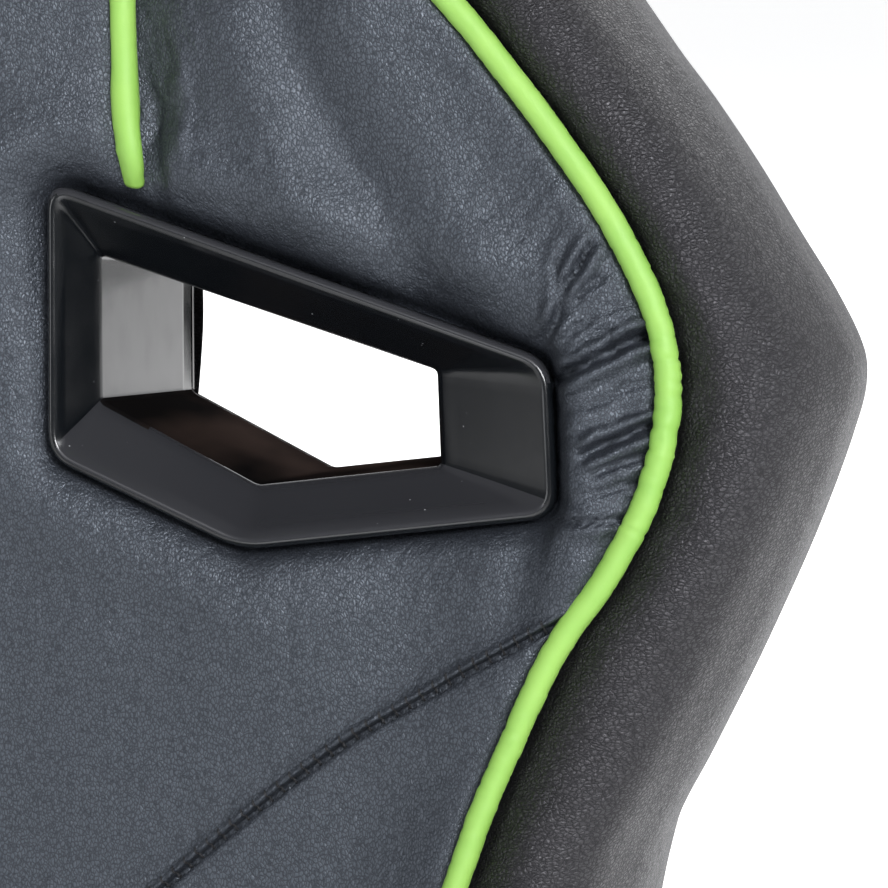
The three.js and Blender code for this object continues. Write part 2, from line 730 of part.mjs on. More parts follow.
add(back, "back_frame", backFrame(), steel);
add(back, "back_cushion", backCushion(), leather);
add(back, "back_rear_panel", backRearPanel(), leather);
addPair(back, "back_hinge_bracket", backHingeBracket(), steel);
addPair(back, "bezel_front", bezel(RIM_Y, LIP_Y, SLOT_SPLIT_Y - CLEAR, -1), gloss);
addPair(back, "bezel_rear", bezel(REAR_RIM_Y, REAR_LIP_Y, SLOT_SPLIT_Y + CLEAR, 1), gloss);

export default chair;
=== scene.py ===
"""Looks of a racing-style gaming chair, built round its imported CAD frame.

Lengths inside the helpers are in millimetres. The backrest is drawn in its own frame: x across,
y from its front face to its back, z up along it from the recline hinge.
"""
import json
import math

import bmesh
import bpy
import numpy as np
from mathutils import Matrix, Vector


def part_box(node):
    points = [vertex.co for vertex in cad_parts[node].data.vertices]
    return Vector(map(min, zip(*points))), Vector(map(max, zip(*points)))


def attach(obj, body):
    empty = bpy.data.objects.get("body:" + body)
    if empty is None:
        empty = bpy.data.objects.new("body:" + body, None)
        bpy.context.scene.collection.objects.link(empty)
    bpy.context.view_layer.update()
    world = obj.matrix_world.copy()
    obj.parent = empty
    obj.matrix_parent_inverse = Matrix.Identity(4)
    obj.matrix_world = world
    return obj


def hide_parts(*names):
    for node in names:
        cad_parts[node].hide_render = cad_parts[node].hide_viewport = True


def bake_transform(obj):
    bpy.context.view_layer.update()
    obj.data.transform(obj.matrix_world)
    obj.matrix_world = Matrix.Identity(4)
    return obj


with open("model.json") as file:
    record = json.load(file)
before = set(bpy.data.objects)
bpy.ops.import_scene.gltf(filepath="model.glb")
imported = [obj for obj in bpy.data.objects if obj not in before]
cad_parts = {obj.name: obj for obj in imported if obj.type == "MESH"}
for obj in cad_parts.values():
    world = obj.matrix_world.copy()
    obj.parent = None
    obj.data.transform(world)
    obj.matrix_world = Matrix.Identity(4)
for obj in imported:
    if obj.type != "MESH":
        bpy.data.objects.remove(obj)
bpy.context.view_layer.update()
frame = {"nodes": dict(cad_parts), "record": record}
record = frame["record"]
joints = {j["name"]: j for j in record["behaviour"]["joints"]}
body_of_node = {n: b for b, nodes in record["behaviour"]["bodies"].items() for n in nodes}
slot_of_node = {s["node"]: s["material_slot"] for s in record["subparts"]}

MM = 0.001
LEAN = math.radians(10)
HINGE = np.array(joints["recline"]["pos_m"]) / MM
COLUMN_Y = joints["seat_swivel"]["pos_m"][1] / MM

# ---------------------------------------------------------------- numbers and curves


def spline(keys, t):
    """A smooth value at t through pairs of (t, value), with t as a number or an array."""
    k = np.array(keys, float)
    x, v = k[:, 0], k[:, 1:]
    t = np.clip(np.asarray(t, float), x[0], x[-1])
    slope = np.empty_like(v)
    slope[1:-1] = (v[2:] - v[:-2]) / (x[2:] - x[:-2])[:, None]
    slope[0] = (v[1] - v[0]) / (x[1] - x[0])
    slope[-1] = (v[-1] - v[-2]) / (x[-1] - x[-2])
    i = np.clip(np.searchsorted(x, t, side="right") - 1, 0, len(x) - 2)
    span = (x[i + 1] - x[i])
    u = ((t - x[i]) / span)[..., None]
    span = span[..., None]
    out = (
        (2 * u**3 - 3 * u**2 + 1) * v[i]
        + (u**3 - 2 * u**2 + u) * span * slope[i]
        + (3 * u**2 - 2 * u**3) * v[i + 1]
        + (u**3 - u**2) * span * slope[i + 1]
    )
    return out[..., 0] if v.shape[1] == 1 else out


def both_sides(half):
    """The points of the +x half and their mirror images, joined at the middle."""
    return np.concatenate([half, half[-2::-1] * np.array([-1, 1, 1])])


def smoothstep(lo, hi, v):
    t = np.clip((v - lo) / (hi - lo), 0, 1)
    return t * t * (3 - 2 * t)


def bell(v, width):
    return np.exp(-((v / width) ** 2))


def noise(x, y, seed=0):
    """Smooth noise from -1 to 1 with features about one unit across."""
    x0, y0 = np.floor(x).astype(np.int64), np.floor(y).astype(np.int64)
    fx, fy = x - x0, y - y0
    fx, fy = fx * fx * (3 - 2 * fx), fy * fy * (3 - 2 * fy)

    def corner(i, j):
        h = ((x0 + i) * 374761393 + (y0 + j) * 668265263 + seed * 1442695041) & 0xFFFFFFFF
        h = ((h ^ (h >> 13)) * 1274126177) & 0xFFFFFFFF
        return ((h ^ (h >> 16)) & 0xFFFF) / 32767.5 - 1

    low = corner(0, 0) * (1 - fx) + corner(1, 0) * fx
    high = corner(0, 1) * (1 - fx) + corner(1, 1) * fx
    return low * (1 - fy) + high * fy


def run_along(points):
    """Length of the polyline from its start to each of its points."""
    return np.r_[0, np.cumsum(np.linalg.norm(np.diff(points, axis=0), axis=1))]


def even(points, step):
    """The polyline through points, re-cut to even steps of about that length."""
    p = np.asarray(points, float)
    run = run_along(p)
    n = max(2, int(round(run[-1] / step)) + 1)
    s = np.linspace(0, run[-1], n)
    return np.stack([np.interp(s, run, p[:, k]) for k in range(p.shape[1])], axis=1)


# ---------------------------------------------------------------- meshes


def on_back(p):
    """Backrest coordinates in millimetres to the row frame in metres."""
    p = np.asarray(p, float).reshape(-1, 3)
    c, s = math.cos(LEAN), math.sin(LEAN)
    y = HINGE[1] + p[:, 1] * c + p[:, 2] * s
    z = HINGE[2] - p[:, 1] * s + p[:, 2] * c
    return np.stack([p[:, 0], y, z], axis=1) * MM


def mesh_object(name, points, faces, body, material):
    mesh = bpy.data.meshes.new(name)
    mesh.from_pydata([tuple(v) for v in points], [], [tuple(int(i) for i in f) for f in faces])
    mesh.validate()
    mesh.materials.append(material)
    mesh.polygons.foreach_set("use_smooth", [True] * len(mesh.polygons))
    ob = bpy.data.objects.new(name, mesh)
    bpy.context.scene.collection.objects.link(ob)
    bpy.context.view_layer.update()
    if body:
        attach(ob, body)
    return ob


def grid_faces(rows, cols, wrap_rows=False, wrap_cols=False):
    r = np.arange(rows if wrap_rows else rows - 1)
    c = np.arange(cols if wrap_cols else cols - 1)
    r, c = np.meshgrid(r, c, indexing="ij")
    r1, c1 = (r + 1) % rows, (c + 1) % cols
    return np.stack([r * cols + c, r * cols + c1, r1 * cols + c1, r1 * cols + c], axis=-1).reshape(-1, 4)


def drop_unused(points, faces):
    faces = np.asarray(faces)
    used = np.unique(faces)
    new = np.full(len(points), -1)
    new[used] = np.arange(len(used))
    return points[used], new[faces]


def tube_mesh(path, radius, sides=12, ripple=None):
    """Points and faces of a round, capped tube along a path. radius may be one value per point."""
    p = np.asarray(path, float)
    n = len(p)
    radius = np.broadcast_to(np.asarray(radius, float), (n,))
    tan = np.gradient(p, axis=0)
    tan /= np.linalg.norm(tan, axis=1)[:, None]
    side = np.cross(tan[0], [0, 1, 0])
    if np.linalg.norm(side) < 0.2:
        side = np.cross(tan[0], [0, 0, 1])
    side /= np.linalg.norm(side)
    sides_at = []
    for t in tan:
        side = side - t * side.dot(t)
        side /= np.linalg.norm(side)
        sides_at.append(side)
    u = np.array(sides_at)
    w = np.cross(tan, u)
    a = np.linspace(0, 2 * np.pi, sides, endpoint=False)
    r = radius[:, None] * np.ones(sides)
    if ripple is not None:
        r = r + ripple(np.arange(n)[:, None], a[None, :])
    ring = u[:, None] * np.cos(a)[None, :, None] + w[:, None] * np.sin(a)[None, :, None]
    pts = (p[:, None] + r[..., None] * ring).reshape(-1, 3)
    faces = [tuple(f) for f in grid_faces(n, sides, wrap_cols=True)]
    faces.append(tuple(range(sides - 1, -1, -1)))
    faces.append(tuple(range((n - 1) * sides, n * sides)))
    return pts, faces


def joined(parts):
    """One list of points and faces from several."""
    points, faces, start = [], [], 0
    for p, f in parts:
        points.append(np.asarray(p))
        faces += [tuple(int(i) + start for i in face) for face in f]
        start += len(p)
    return np.concatenate(points), faces


# ---------------------------------------------------------------- materials


class Nodes:
    """A material's node tree with short ways to add and link nodes. A value may be a number or a socket."""

    def __init__(self, name):
        self.material = bpy.data.materials.new(name)
        self.material.use_nodes = True
        self.tree = self.material.node_tree
        self.shader = self.tree.nodes["Principled BSDF"]
        self.coords = self.tree.nodes.new("ShaderNodeTexCoord").outputs["Object"]

    def add(self, kind, inputs=(), **settings):
        node = self.tree.nodes.new("ShaderNode" + kind)
        for key, value in settings.items():
            setattr(node, key, value)
        for key, value in dict(inputs).items():
            self.put(node.inputs[key], value)
        return node

    def put(self, socket, value):
        if isinstance(value, bpy.types.NodeSocket):
            self.tree.links.new(value, socket)
        else:
            socket.default_value = value

    def set(self, **values):
        for key, value in values.items():
            self.put(self.shader.inputs[key.replace("_", " ")], value)

    def mapped(self, scale, turn=(0, 0, 0)):
        return self.add("Mapping", {"Vector": self.coords, "Scale": scale, "Rotation": turn}).outputs[0]

    def noise(self, vector, scale, detail=2.0, rough=0.5):
        return self.add("TexNoise", {"Vector": vector, "Scale": scale, "Detail": detail, "Roughness": rough})

    def fit(self, value, low, high, to_low, to_high):
        inputs = {"Value": value, "From Min": low, "From Max": high, "To Min": to_low, "To Max": to_high}
        return self.add("MapRange", inputs).outputs[0]

    def math(self, operation, a, b):
        return self.add("Math", {0: a, 1: b}, operation=operation).outputs[0]

    def blend(self, factor, a, b):
        return self.add("Mix", {0: factor, 6: a, 7: b}, data_type="RGBA").outputs[2]

    def bump(self, height, strength, distance, under=None):
        inputs = {"Height": height, "Strength": strength, "Distance": distance}
        if under is not None:
            inputs["Normal"] = under
        return self.add("Bump", inputs).outputs[0]


def leather(name, color, cell, roughness, depth, sheen, stretch=(1, 1, 1), turn=(0, 0, 0)):
    """Coated leather cloth: pebbles of about cell millimetres between fine creases, with painted shade
    darkening the creases.
    """
    n = Nodes(name)
    per_metre = 1000 / cell
    warp = n.noise(n.coords, per_metre * 0.45, 2.0).outputs["Color"]
    base = n.mapped(stretch, turn)
    spread = (0.9 * cell * MM,) * 3
    place = n.add("VectorMath", {0: warp, 1: spread, 2: base}, operation="MULTIPLY_ADD").outputs[0]
    big = n.add("TexVoronoi", {"Vector": place, "Scale": per_metre}, feature="DISTANCE_TO_EDGE").outputs[0]
    finer = {"Vector": place, "Scale": per_metre * 2.2}
    small = n.add("TexVoronoi", finer, feature="DISTANCE_TO_EDGE").outputs[0]
    pebbles = n.fit(big, 0.0, 0.3, 0.0, 1.0)
    fine = n.fit(small, 0.0, 0.35, 0.0, 1.0)
    height = n.math("ADD", pebbles, n.math("MULTIPLY", fine, 0.4))
    soft = n.noise(n.coords, 210.0, 4.0, 0.6).outputs["Fac"]
    first = n.bump(soft, 0.5, 0.0016)
    n.set(Normal=n.bump(height, depth, 0.0003, first))
    patches = n.noise(n.coords, 9.0, 2.0).outputs["Fac"]
    dark = tuple(0.88 * c for c in color) + (1,)
    light = tuple(1.12 * c for c in color) + (1,)
    tint = n.blend(n.fit(patches, 0.35, 0.68, 0.0, 1.0), dark, light)
    # Painted shade: the creases between the pebbles are darkened toward near black.
    crease_shaded = n.blend(n.fit(pebbles, 0.0, 0.55, 0.5, 0.0), tint, (0.003, 0.003, 0.004, 1))
    n.set(Base_Color=crease_shaded)
    wear = n.fit(soft, 0.3, 0.7, roughness - 0.05, roughness + 0.05)
    n.set(Roughness=n.math("ADD", wear, n.fit(pebbles, 0.0, 1.0, 0.12, -0.04)))
    n.set(Specular_IOR_Level=n.fit(pebbles, 0.0, 0.8, 0.5, 1.0))
    n.set(Specular_Tint=sheen + (1,))
    return n.material


def plastic(name, color, roughness, grain=0.35, scale=900.0, wear=0.5):
    """Moulded plastic with a fine texture, slightly paler where it has been rubbed."""
    n = Nodes(name)
    spots = n.noise(n.coords, scale, 3.0).outputs["Fac"]
    flow = n.noise(n.mapped((1, 1, 0.35)), 26.0, 3.0).outputs["Fac"]
    n.set(Normal=n.bump(spots, grain, 0.00012))
    pale = tuple(c * 1.5 + 0.004 * wear for c in color) + (1,)
    n.set(Base_Color=n.blend(n.fit(flow, 0.42, 0.72, 0.0, 1.0), color + (1,), pale))
    n.set(Roughness=n.fit(flow, 0.3, 0.7, roughness - 0.05, roughness + 0.07))
    return n.material


def polished_plastic(name, color):
    """Glossy black plastic with faint flow waves and a few specks of dust."""
    n = Nodes(name)
    waves = n.noise(n.coords, 38.0, 2.0).outputs["Fac"]
    n.set(Normal=n.bump(waves, 0.05, 0.001))
    specks = n.add("TexVoronoi", {"Vector": n.coords, "Scale": 190.0}, feature="F1").outputs["Distance"]
    chosen = n.noise(n.coords, 47.0, 1.0).outputs["Fac"]
    dust = n.math("MULTIPLY", n.fit(specks, 0.045, 0.028, 0.0, 1.0), n.fit(chosen, 0.5, 0.56, 0.0, 1.0))
    n.set(Base_Color=n.blend(dust, color + (1,), (0.30, 0.31, 0.32, 1)))
    rub = n.noise(n.coords, 90.0, 3.0).outputs["Fac"]
    n.set(Roughness=n.math("ADD", n.fit(rub, 0.35, 0.7, 0.17, 0.25), n.math("MULTIPLY", dust, 0.5)))
    n.set(Specular_IOR_Level=0.55)
    return n.material


def dull_plastic():
    """The unpolished inside of the slot: brownish black with a weak sheen."""
    n = Nodes("dull_tunnel_plastic")
    tone = n.noise(n.mapped((1, 0.3, 1)), 30.0, 3.0).outputs["Fac"]
    stain = n.fit(tone, 0.4, 0.65, 0.0, 1.0)
    n.set(Base_Color=n.blend(stain, (0.006, 0.0055, 0.0055, 1), (0.030, 0.021, 0.018, 1)))
    n.set(Roughness=n.fit(tone, 0.3, 0.7, 0.3, 0.42))
    n.set(Normal=n.bump(tone, 0.1, 0.001))
    n.set(Specular_IOR_Level=0.0)
    return n.material


def coated_steel(name, color, roughness):
    n = Nodes(name)
    peel = n.noise(n.coords, 700.0, 2.0).outputs["Fac"]
    n.set(Normal=n.bump(peel, 0.3, 0.00015))
    tone = n.noise(n.coords, 18.0, 3.0).outputs["Fac"]
    pale = tuple(1.4 * c for c in color) + (1,)
    n.set(Base_Color=n.blend(n.fit(tone, 0.4, 0.7, 0.0, 1.0), color + (1,), pale))
    n.set(Roughness=n.fit(tone, 0.3, 0.7, roughness - 0.06, roughness + 0.06))
    n.set(Metallic=0.3)
    return n.material


def bright_metal():
    n = Nodes("chromed_steel")
    lines = n.noise(n.mapped((1, 1, 30)), 160.0, 2.0).outputs["Fac"]
    n.set(Normal=n.bump(lines, 0.04, 0.0002))
    n.set(Roughness=n.fit(lines, 0.3, 0.7, 0.08, 0.2))
    n.set(Base_Color=(0.62, 0.63, 0.65, 1))
    n.set(Metallic=1.0)
    return n.material


def piping_leather():
    """Smooth lime-green coated cloth pulled round a cord."""
    n = Nodes("green_piping")
    tone = n.noise(n.coords, 60.0, 3.0).outputs["Fac"]
    faded = n.fit(tone, 0.35, 0.65, 0.0, 1.0)
    n.set(Base_Color=n.blend(faded, (0.20, 0.415, 0.05, 1), (0.24, 0.455, 0.065, 1)))
    fine = n.noise(n.coords, 1500.0, 3.0).outputs["Fac"]
    n.set(Normal=n.bump(fine, 0.18, 0.0002))
    n.set(Roughness=n.fit(tone, 0.3, 0.7, 0.6, 0.68))
    n.set(Specular_IOR_Level=1.0)
    return n.material


def woven(name, color, pitch):
    n = Nodes(name)
    waves = []
    for turn in (0.0, math.pi / 2):
        inputs = {"Vector": n.mapped((1, 1, 1), (0, 0, turn)), "Scale": 1000 / pitch / 6.3}
        waves.append(n.add("TexWave", inputs).outputs["Fac"])
    cloth = n.math("MAXIMUM", *waves)
    n.set(Normal=n.bump(cloth, 0.6, 0.0006))
    dark, pale = (tuple(k * c for c in color) + (1,) for k in (0.5, 1.3))
    n.set(Base_Color=n.blend(cloth, dark, pale))
    n.set(Roughness=n.fit(cloth, 0, 1, 0.9, 0.75))
    return n.material


PANEL = leather(
    "panel_leather", (0.017, 0.0195, 0.025), 0.85, 0.42, 0.36, (0.80, 0.885, 1.0), (1, 1, 0.62), (0, 0.6, 0)
)
BOLSTER = leather(
    "bolster_leather", (0.0058, 0.0055, 0.0060), 1.1, 0.44, 0.55, (0.62, 0.61, 0.65), (0.7, 0.7, 1.15)
)
SEAT_LEATHER = leather("seat_leather", (0.016, 0.018, 0.022), 1.1, 0.44, 0.45, (0.87, 0.92, 1.0))
GREEN = piping_leather()
GLOSS = polished_plastic("polished_black_plastic", (0.0045, 0.0055, 0.0068))
# Painted reflection: a paler black for the front funnel's faces that look up.
PAINTED_REFLECTION_GLOSS = polished_plastic("painted_reflection_black_plastic", (0.026, 0.0265, 0.030))
DULL = dull_plastic()
NYLON = plastic("textured_nylon", (0.011, 0.011, 0.012), 0.47)
PAD_SKIN = plastic("soft_pad_skin", (0.014, 0.014, 0.015), 0.62, grain=0.5, scale=1600.0)
TREAD = plastic("caster_tread", (0.018, 0.018, 0.020), 0.5, grain=0.3, scale=600.0)
STEEL = coated_steel("powder_coated_steel", (0.013, 0.013, 0.015), 0.42)
CHROME = bright_metal()
WEBBING = woven("black_webbing", (0.016, 0.016, 0.018), 3.0)
THREAD = woven("black_thread", (0.012, 0.012, 0.014), 0.5)

# ---------------------------------------------------------------- backrest: its outlines

Z_FLOOR = 10.0  # the cover's lower edge
Z_CROWN = 800.0  # where the sides of the middle panel turn over into its top edge
CROWN_HALF = 106.0
CROWN_RISE = 34.0
REAR_Y = 56.5

HALF_W = [
    (8, 205), (60, 226), (140, 238), (240, 234), (340, 226), (400, 222), (441, 227), (497, 251),
    (540, 268), (562, 276), (578, 278), (594, 271), (630, 250), (664, 227), (700, 200), (740, 174),
    (780, 160), (815, 149), (838, 130), (852, 92),
]
FRONT = [
    (8, 34), (60, 44), (120, 54), (200, 58), (300, 52), (420, 47), (520, 46), (640, 46),
    (740, 50), (800, 48), (852, 26),
]
RISE = [(8, 14), (60, 36), (160, 44), (260, 42), (360, 30), (470, 10), (575, 5), (660, 5), (740, 6), (852, 0)]

# The piping between the middle panel and the side bolsters: height, half-width.
PIPING = [
    (10, 150), (60, 172), (140, 184), (240, 180), (340, 174), (400, 172), (430, 175), (456, 182.6),
    (466.4, 186.6), (477, 191.2), (487.5, 195.6), (498, 200.4), (508.6, 206.5), (519, 214),
    (529.6, 220.4), (540, 225.6), (550.3, 229.1), (560.6, 231.2), (570.8, 232), (581, 230.9),
    (591.2, 228.3), (601.4, 223.8), (611.7, 218.4), (622, 212.1), (632, 205.1), (642.6, 197.4),
    (653, 189.3), (663, 181.5), (700, 150), (740, 124), (780, 109), (800, 106),
]
# The outermost line of the bolster across from points of the piping, as (piping height, x, z).
OUTLINE = [
    (10, 205, 8), (60, 226, 58), (140, 238, 138), (240, 234, 240), (340, 224, 341), (400, 218, 396),
    (450, 225, 443), (473, 236.9, 468), (495, 247.6, 490), (511, 255.3, 507), (526.5, 263.5, 526),
    (540, 270, 543), (555, 275, 558), (568, 278, 570), (576, 277.5, 580), (591, 270, 596),
    (607, 259, 614), (622, 247.4, 633), (637.5, 234.6, 652), (648, 225.6, 664), (659.5, 214.5, 680),
    (700, 183, 724), (740, 165, 764), (780, 155, 795), (800, 151, 812),
]
CROWN_OUTLINE = [(0.0, 151, 812), (0.25, 143, 832), (0.5, 118, 850), (0.75, 62, 857), (1.0, 0, 858)]
NECK_X = 83.5

# The seam under the belt slots: half-width, height.
SEAM = [
    (0, 388), (20, 391), (50, 403), (80, 423), (108, 446.5), (128, 463), (147, 477), (166, 488.5),
    (180, 497), (205, 511), (240, 530),
]
SEAM_END_Z = 511.0  # where the seam meets the piping
STITCH = 4.3

UNDER_RIM = 2.6  # how far the covers reach in under the slot's rim
SLOT_RIM = np.array([[200.5, 578], [202.5, 537], [116, 526.7], [61, 551], [61.5, 626.5]])
SLOT_LIP = np.array([[166, 575], [167, 549], [115, 543], [70, 566], [70, 606.5]])
RIM_Y, LIP_Y, REAR_LIP_Y, REAR_RIM_Y = -52.0, -32.0, 46.0, 60.0
SLOT_Z = 560

# Creases in the leather beside the slot: points (x, z), half-width and depth.
CREASES = [
    ([(200.5, 572), (207, 575.3), (214.4, 579), (222, 583.5), (230, 586)], 1.25, 2.8),
    ([(209, 553.4), (216, 556.8), (223, 560), (231, 562)], 1.1, 1.9),
    ([(213, 549.5), (220, 552), (229, 554.6)], 0.9, 0.9),
    ([(203, 537.4), (210, 536.6), (217, 536.9), (224, 538)], 0.8, 1.2),
    ([(205, 565), (214, 567.5), (222, 571.5), (230, 573.5)], 0.8, 0.8),
    ([(209, 560.5), (218, 563), (230, 567.4)], 0.7, 0.7),
    ([(202, 585), (203.5, 591), (206, 598), (210.5, 605), (213, 610)], 0.9, 1.1),
    ([(200, 583), (204, 590), (210, 596), (216, 601)], 0.9, 0.9),
    ([(197, 582), (201, 588), (203, 594), (203, 601), (206, 609)], 0.8, 0.7),
    ([(205, 584), (211, 588), (217, 591.5), (223, 594)], 0.7, 0.5),
    ([(206, 579.5), (212, 584), (219, 587.6), (226, 590)], 0.7, 0.5),
    ([(210, 543.5), (218, 545), (226, 547.5)], 0.8, 0.6),
]


def front_at(x, z):
    """How far the middle panel stands in front of the hinge's plane, before its folds."""
    share = np.abs(x) / spline(HALF_W, z)
    return spline(FRONT, z) + 4 + smoothstep(0.62, 0.86, share) * spline(RISE, z)


def outside(polygon, x, z, rounding=6.0):
    """Distance outside a convex polygon with rounded corners; negative inside."""
    centre = polygon.mean(axis=0)
    best = np.full(x.shape, 1e9)
    inside = np.ones(x.shape, bool)
    inner = offset(polygon, -rounding)
    for a, b in zip(inner, np.roll(inner, -1, axis=0)):
        e = b - a
        px, pz = x - a[0], z - a[1]
        t = np.clip((px * e[0] + pz * e[1]) / e.dot(e), 0, 1)
        best = np.minimum(best, (px - t * e[0]) ** 2 + (pz - t * e[1]) ** 2)
        side = e[0] * pz - e[1] * px
        ref = e[0] * (centre[1] - a[1]) - e[1] * (centre[0] - a[0])
        inside &= side * ref > 0
    d = np.sqrt(best)
    return np.where(inside, -d, d) - rounding


def offset(corners, distance):
    """A convex outline moved outwards by distance; a negative one moves it inwards."""
    c = np.asarray(corners, float)
    middle = c.mean(axis=0)
    lines = []
    for a, b in zip(c, np.roll(c, -1, axis=0)):
        e = (b - a) / np.linalg.norm(b - a)
        normal = np.array([-e[1], e[0]])
        if normal.dot(a - middle) < 0:
            normal = -normal
        lines.append((normal, normal.dot(a) + distance))
    out = []
    for (n0, d0), (n1, d1) in zip(np.roll(np.array(lines, dtype=object), 1, axis=0), lines):
        out.append(np.linalg.solve(np.array([n0, n1], float), np.array([d0, d1], float)))
    return np.array(out)


def along_line(points, x, z):
    """Share of the way along a polyline and distance to the left of it, for each (x, z)."""
    p = np.array(points, float)
    run = run_along(p)
    best = np.full(x.shape, 1e9)
    share = np.zeros(x.shape)
    side = np.zeros(x.shape)
    for i in range(len(p) - 1):
        e = p[i + 1] - p[i]
        px, pz = x - p[i, 0], z - p[i, 1]
        t = np.clip((px * e[0] + pz * e[1]) / e.dot(e), 0, 1)
        d = np.hypot(px - t * e[0], pz - t * e[1])
        near = d < best
        best = np.where(near, d, best)
        share = np.where(near, (run[i] + t * (run[i + 1] - run[i])) / run[-1], share)
        side = np.where(near, np.sign(e[0] * pz - e[1] * px), side)
    return share, best * side


def folds(x, z):
    """Padding and creases of the middle panel: millimetres proud of the plain surface."""
    sign = np.where(x < 0, 1, 0)
    a = np.abs(x)
    d = outside(SLOT_RIM, a, z)
    pipe = spline(PIPING, z)
    to_pipe = (pipe - a) / np.sqrt(1 + (spline(PIPING, z + 1) - pipe) ** 2)
    h = np.zeros(x.shape)
    # Pulled down round the rim, then full.
    h -= 6.0 * np.exp(-np.maximum(d, 0) / 1.6) + 1.2 * bell(np.maximum(d, 0), 6.0)
    full = 0.6 + 0.4 * smoothstep(160, 215, a) + 0.5 * smoothstep(590, 620, z)
    beside = smoothstep(198, 204, a) * bell(z - 556, 34)
    h += 3.0 * full * (1 - beside) * bell(d - 15, 11) * smoothstep(0, 7, d)
    h += 5.2 * beside * bell(d - 7, 9) * smoothstep(0, 5, d)
    h -= 3.6 * bell(np.maximum(d, 0), 9.5) * smoothstep(566, 596, z) * smoothstep(215, 180, a)
    # Pulled down along the piping.
    h -= 3.8 * bell(np.minimum(to_pipe, 40), 4.0) * (z < Z_CROWN)
    # Full between the neck and the shoulder, with a valley running up from the slot's outer corner.
    h += 5.5 * bell(a - 138, 38) * bell(z - 668, 43)
    run, off = along_line([(128, 690), (131, 664), (145, 633), (168, 594), (186, 582)], a, z)
    gone = smoothstep(0, 0.2, run) * smoothstep(1, 0.85, run)
    h -= gone * (2.6 * bell(off, 7.5) - 2.2 * bell(off - 19, 11) - 1.6 * bell(off + 17, 10))
    h += 1.5 * bell(a - 214, 14) * bell(z - 612, 22)
    h -= 2.0 * bell((a - 193.5) - 0.12 * (z - 524), 6.5) * bell(z - 522, 17)
    h += 2.0 * bell(a - 208, 11) * bell(z - 521, 14)
    h += 2.4 * bell(a - 110, 48) * bell(z - 497, 24)
    h -= 2.0 * bell(a - 160, 34) * bell(z - 520, 12)
    # The panel behind the neck and its edges.
    neck = smoothstep(612, 634, z)
    beyond = a - NECK_X
    h -= 3.4 * neck * bell(beyond, 5.0) + 3.6 * neck * bell(beyond - 7.5, 5.5) * smoothstep(720, 650, z)
    h += 4.0 * neck * smoothstep(NECK_X, NECK_X - 40, a)
    h -= 1.8 * neck * bell(a - NECK_X - 9, 6) * smoothstep(700, 640, z)
    # Creases.
    for i, (line, width, depth) in enumerate(CREASES):
        lo = np.min(line, axis=0) - 8
        hi = np.max(line, axis=0) + 8
        near = (a > lo[0]) & (a < hi[0]) & (z > lo[1]) & (z < hi[1])
        ax, az = a[near], z[near]
        wob = 0.5 * noise(ax / 3.1, az / 3.1, 5 + i)
        share, side = along_line(line, ax, az)
        side = side + wob
        taper = np.sqrt(np.clip(share / 0.18, 0, 1)) * np.sqrt(np.clip((1 - share) / 0.12, 0, 1))
        cut = -depth * bell(side, width) + 0.5 * depth * bell(np.abs(side) - 2.5 * width, 1.7 * width)
        cut *= 2.5
        h[near] += taper * cut
    # Fine puckers that fan out from the slot's outer end.
    fan = bell(a - 214, 17) * bell(z - 572, 36)
    ang = np.arctan2(z - 556, np.maximum(a - 168, 1))
    far = np.hypot(a - 168, z - 556)
    wide = noise(ang * 22, far / 11.0, 21 + 7 * sign)
    narrow = noise(ang * 55, far / 7.0, 22 + 7 * sign)
    h += 0.85 * fan * wide + 0.6 * fan * narrow
    slope = (a + z) * 0.7071
    across = (z - a) * 0.7071
    upper = bell(a - 196, 26) * bell(z - 618, 30)
    h += 0.42 * upper * noise(across / 1.9, slope / 9.0, 31)
    bunch = neck * bell(a - NECK_X - 12, 9) * bell(z - 645, 34)
    h += 1.3 * bunch * noise(a / 4.2, z / 7.5, 33) + 0.8 * bunch * noise(a / 2.1, z / 3.6, 34)
    h += 0.45 * noise(x / 23.0, z / 23.0, 41) + 0.10 * noise(x / 5.0, z / 7.0, 42)
    return h


def seam_height(x):
    return spline(SEAM, np.abs(x))


def seam_run():
    """The seam's centreline on the +x side as (x, z), with its length so far."""
    x = np.linspace(0, 206, 1600)
    z = seam_height(x)
    run = np.r_[0, np.cumsum(np.hypot(np.diff(x), np.diff(z)))]
    return x, z, run


SEAM_X, SEAM_Z, SEAM_LEN = seam_run()


def puckers(x):
    """1 where a stitch pulls the seam in, falling to 0 between stitches."""
    s = np.interp(np.abs(x), SEAM_X, SEAM_LEN)
    off = (s / STITCH + 0.5) % 1 - 0.5
    return bell(off * STITCH, 0.75)


def above_seam(x, z):
    """Distance above the seam, measured square to it."""
    a = np.abs(x)
    rise = (spline(SEAM, a + 1) - spline(SEAM, a)) * np.sign(1e-9 + a)
    return (z - seam_height(x)) / np.sqrt(1 + rise**2)


def upper_surface(x, z):
    e = np.maximum(above_seam(x, z), 0)
    h = front_at(x, z) + folds(x, z)
    h += 2.6 * np.exp(-e / 4.2) - 4.6 * np.exp(-((e / 0.5) ** 2)) + 0.7 * bell(e - 1.5, 0.8)
    h -= 0.8 * puckers(x) * bell(e - 0.9, 1.2)
    return h


def lower_surface(x, z):
    e = np.maximum(-above_seam(x, z), 0)
    h = front_at(x, z) + folds(x, z) - 1.5 * bell(e, 1.3) + 0.7 * bell(e - 9, 7)
    h -= 0.35 * puckers(x) * bell(e, 1.6)
    return h


# ---------------------------------------------------------------- backrest: its covers


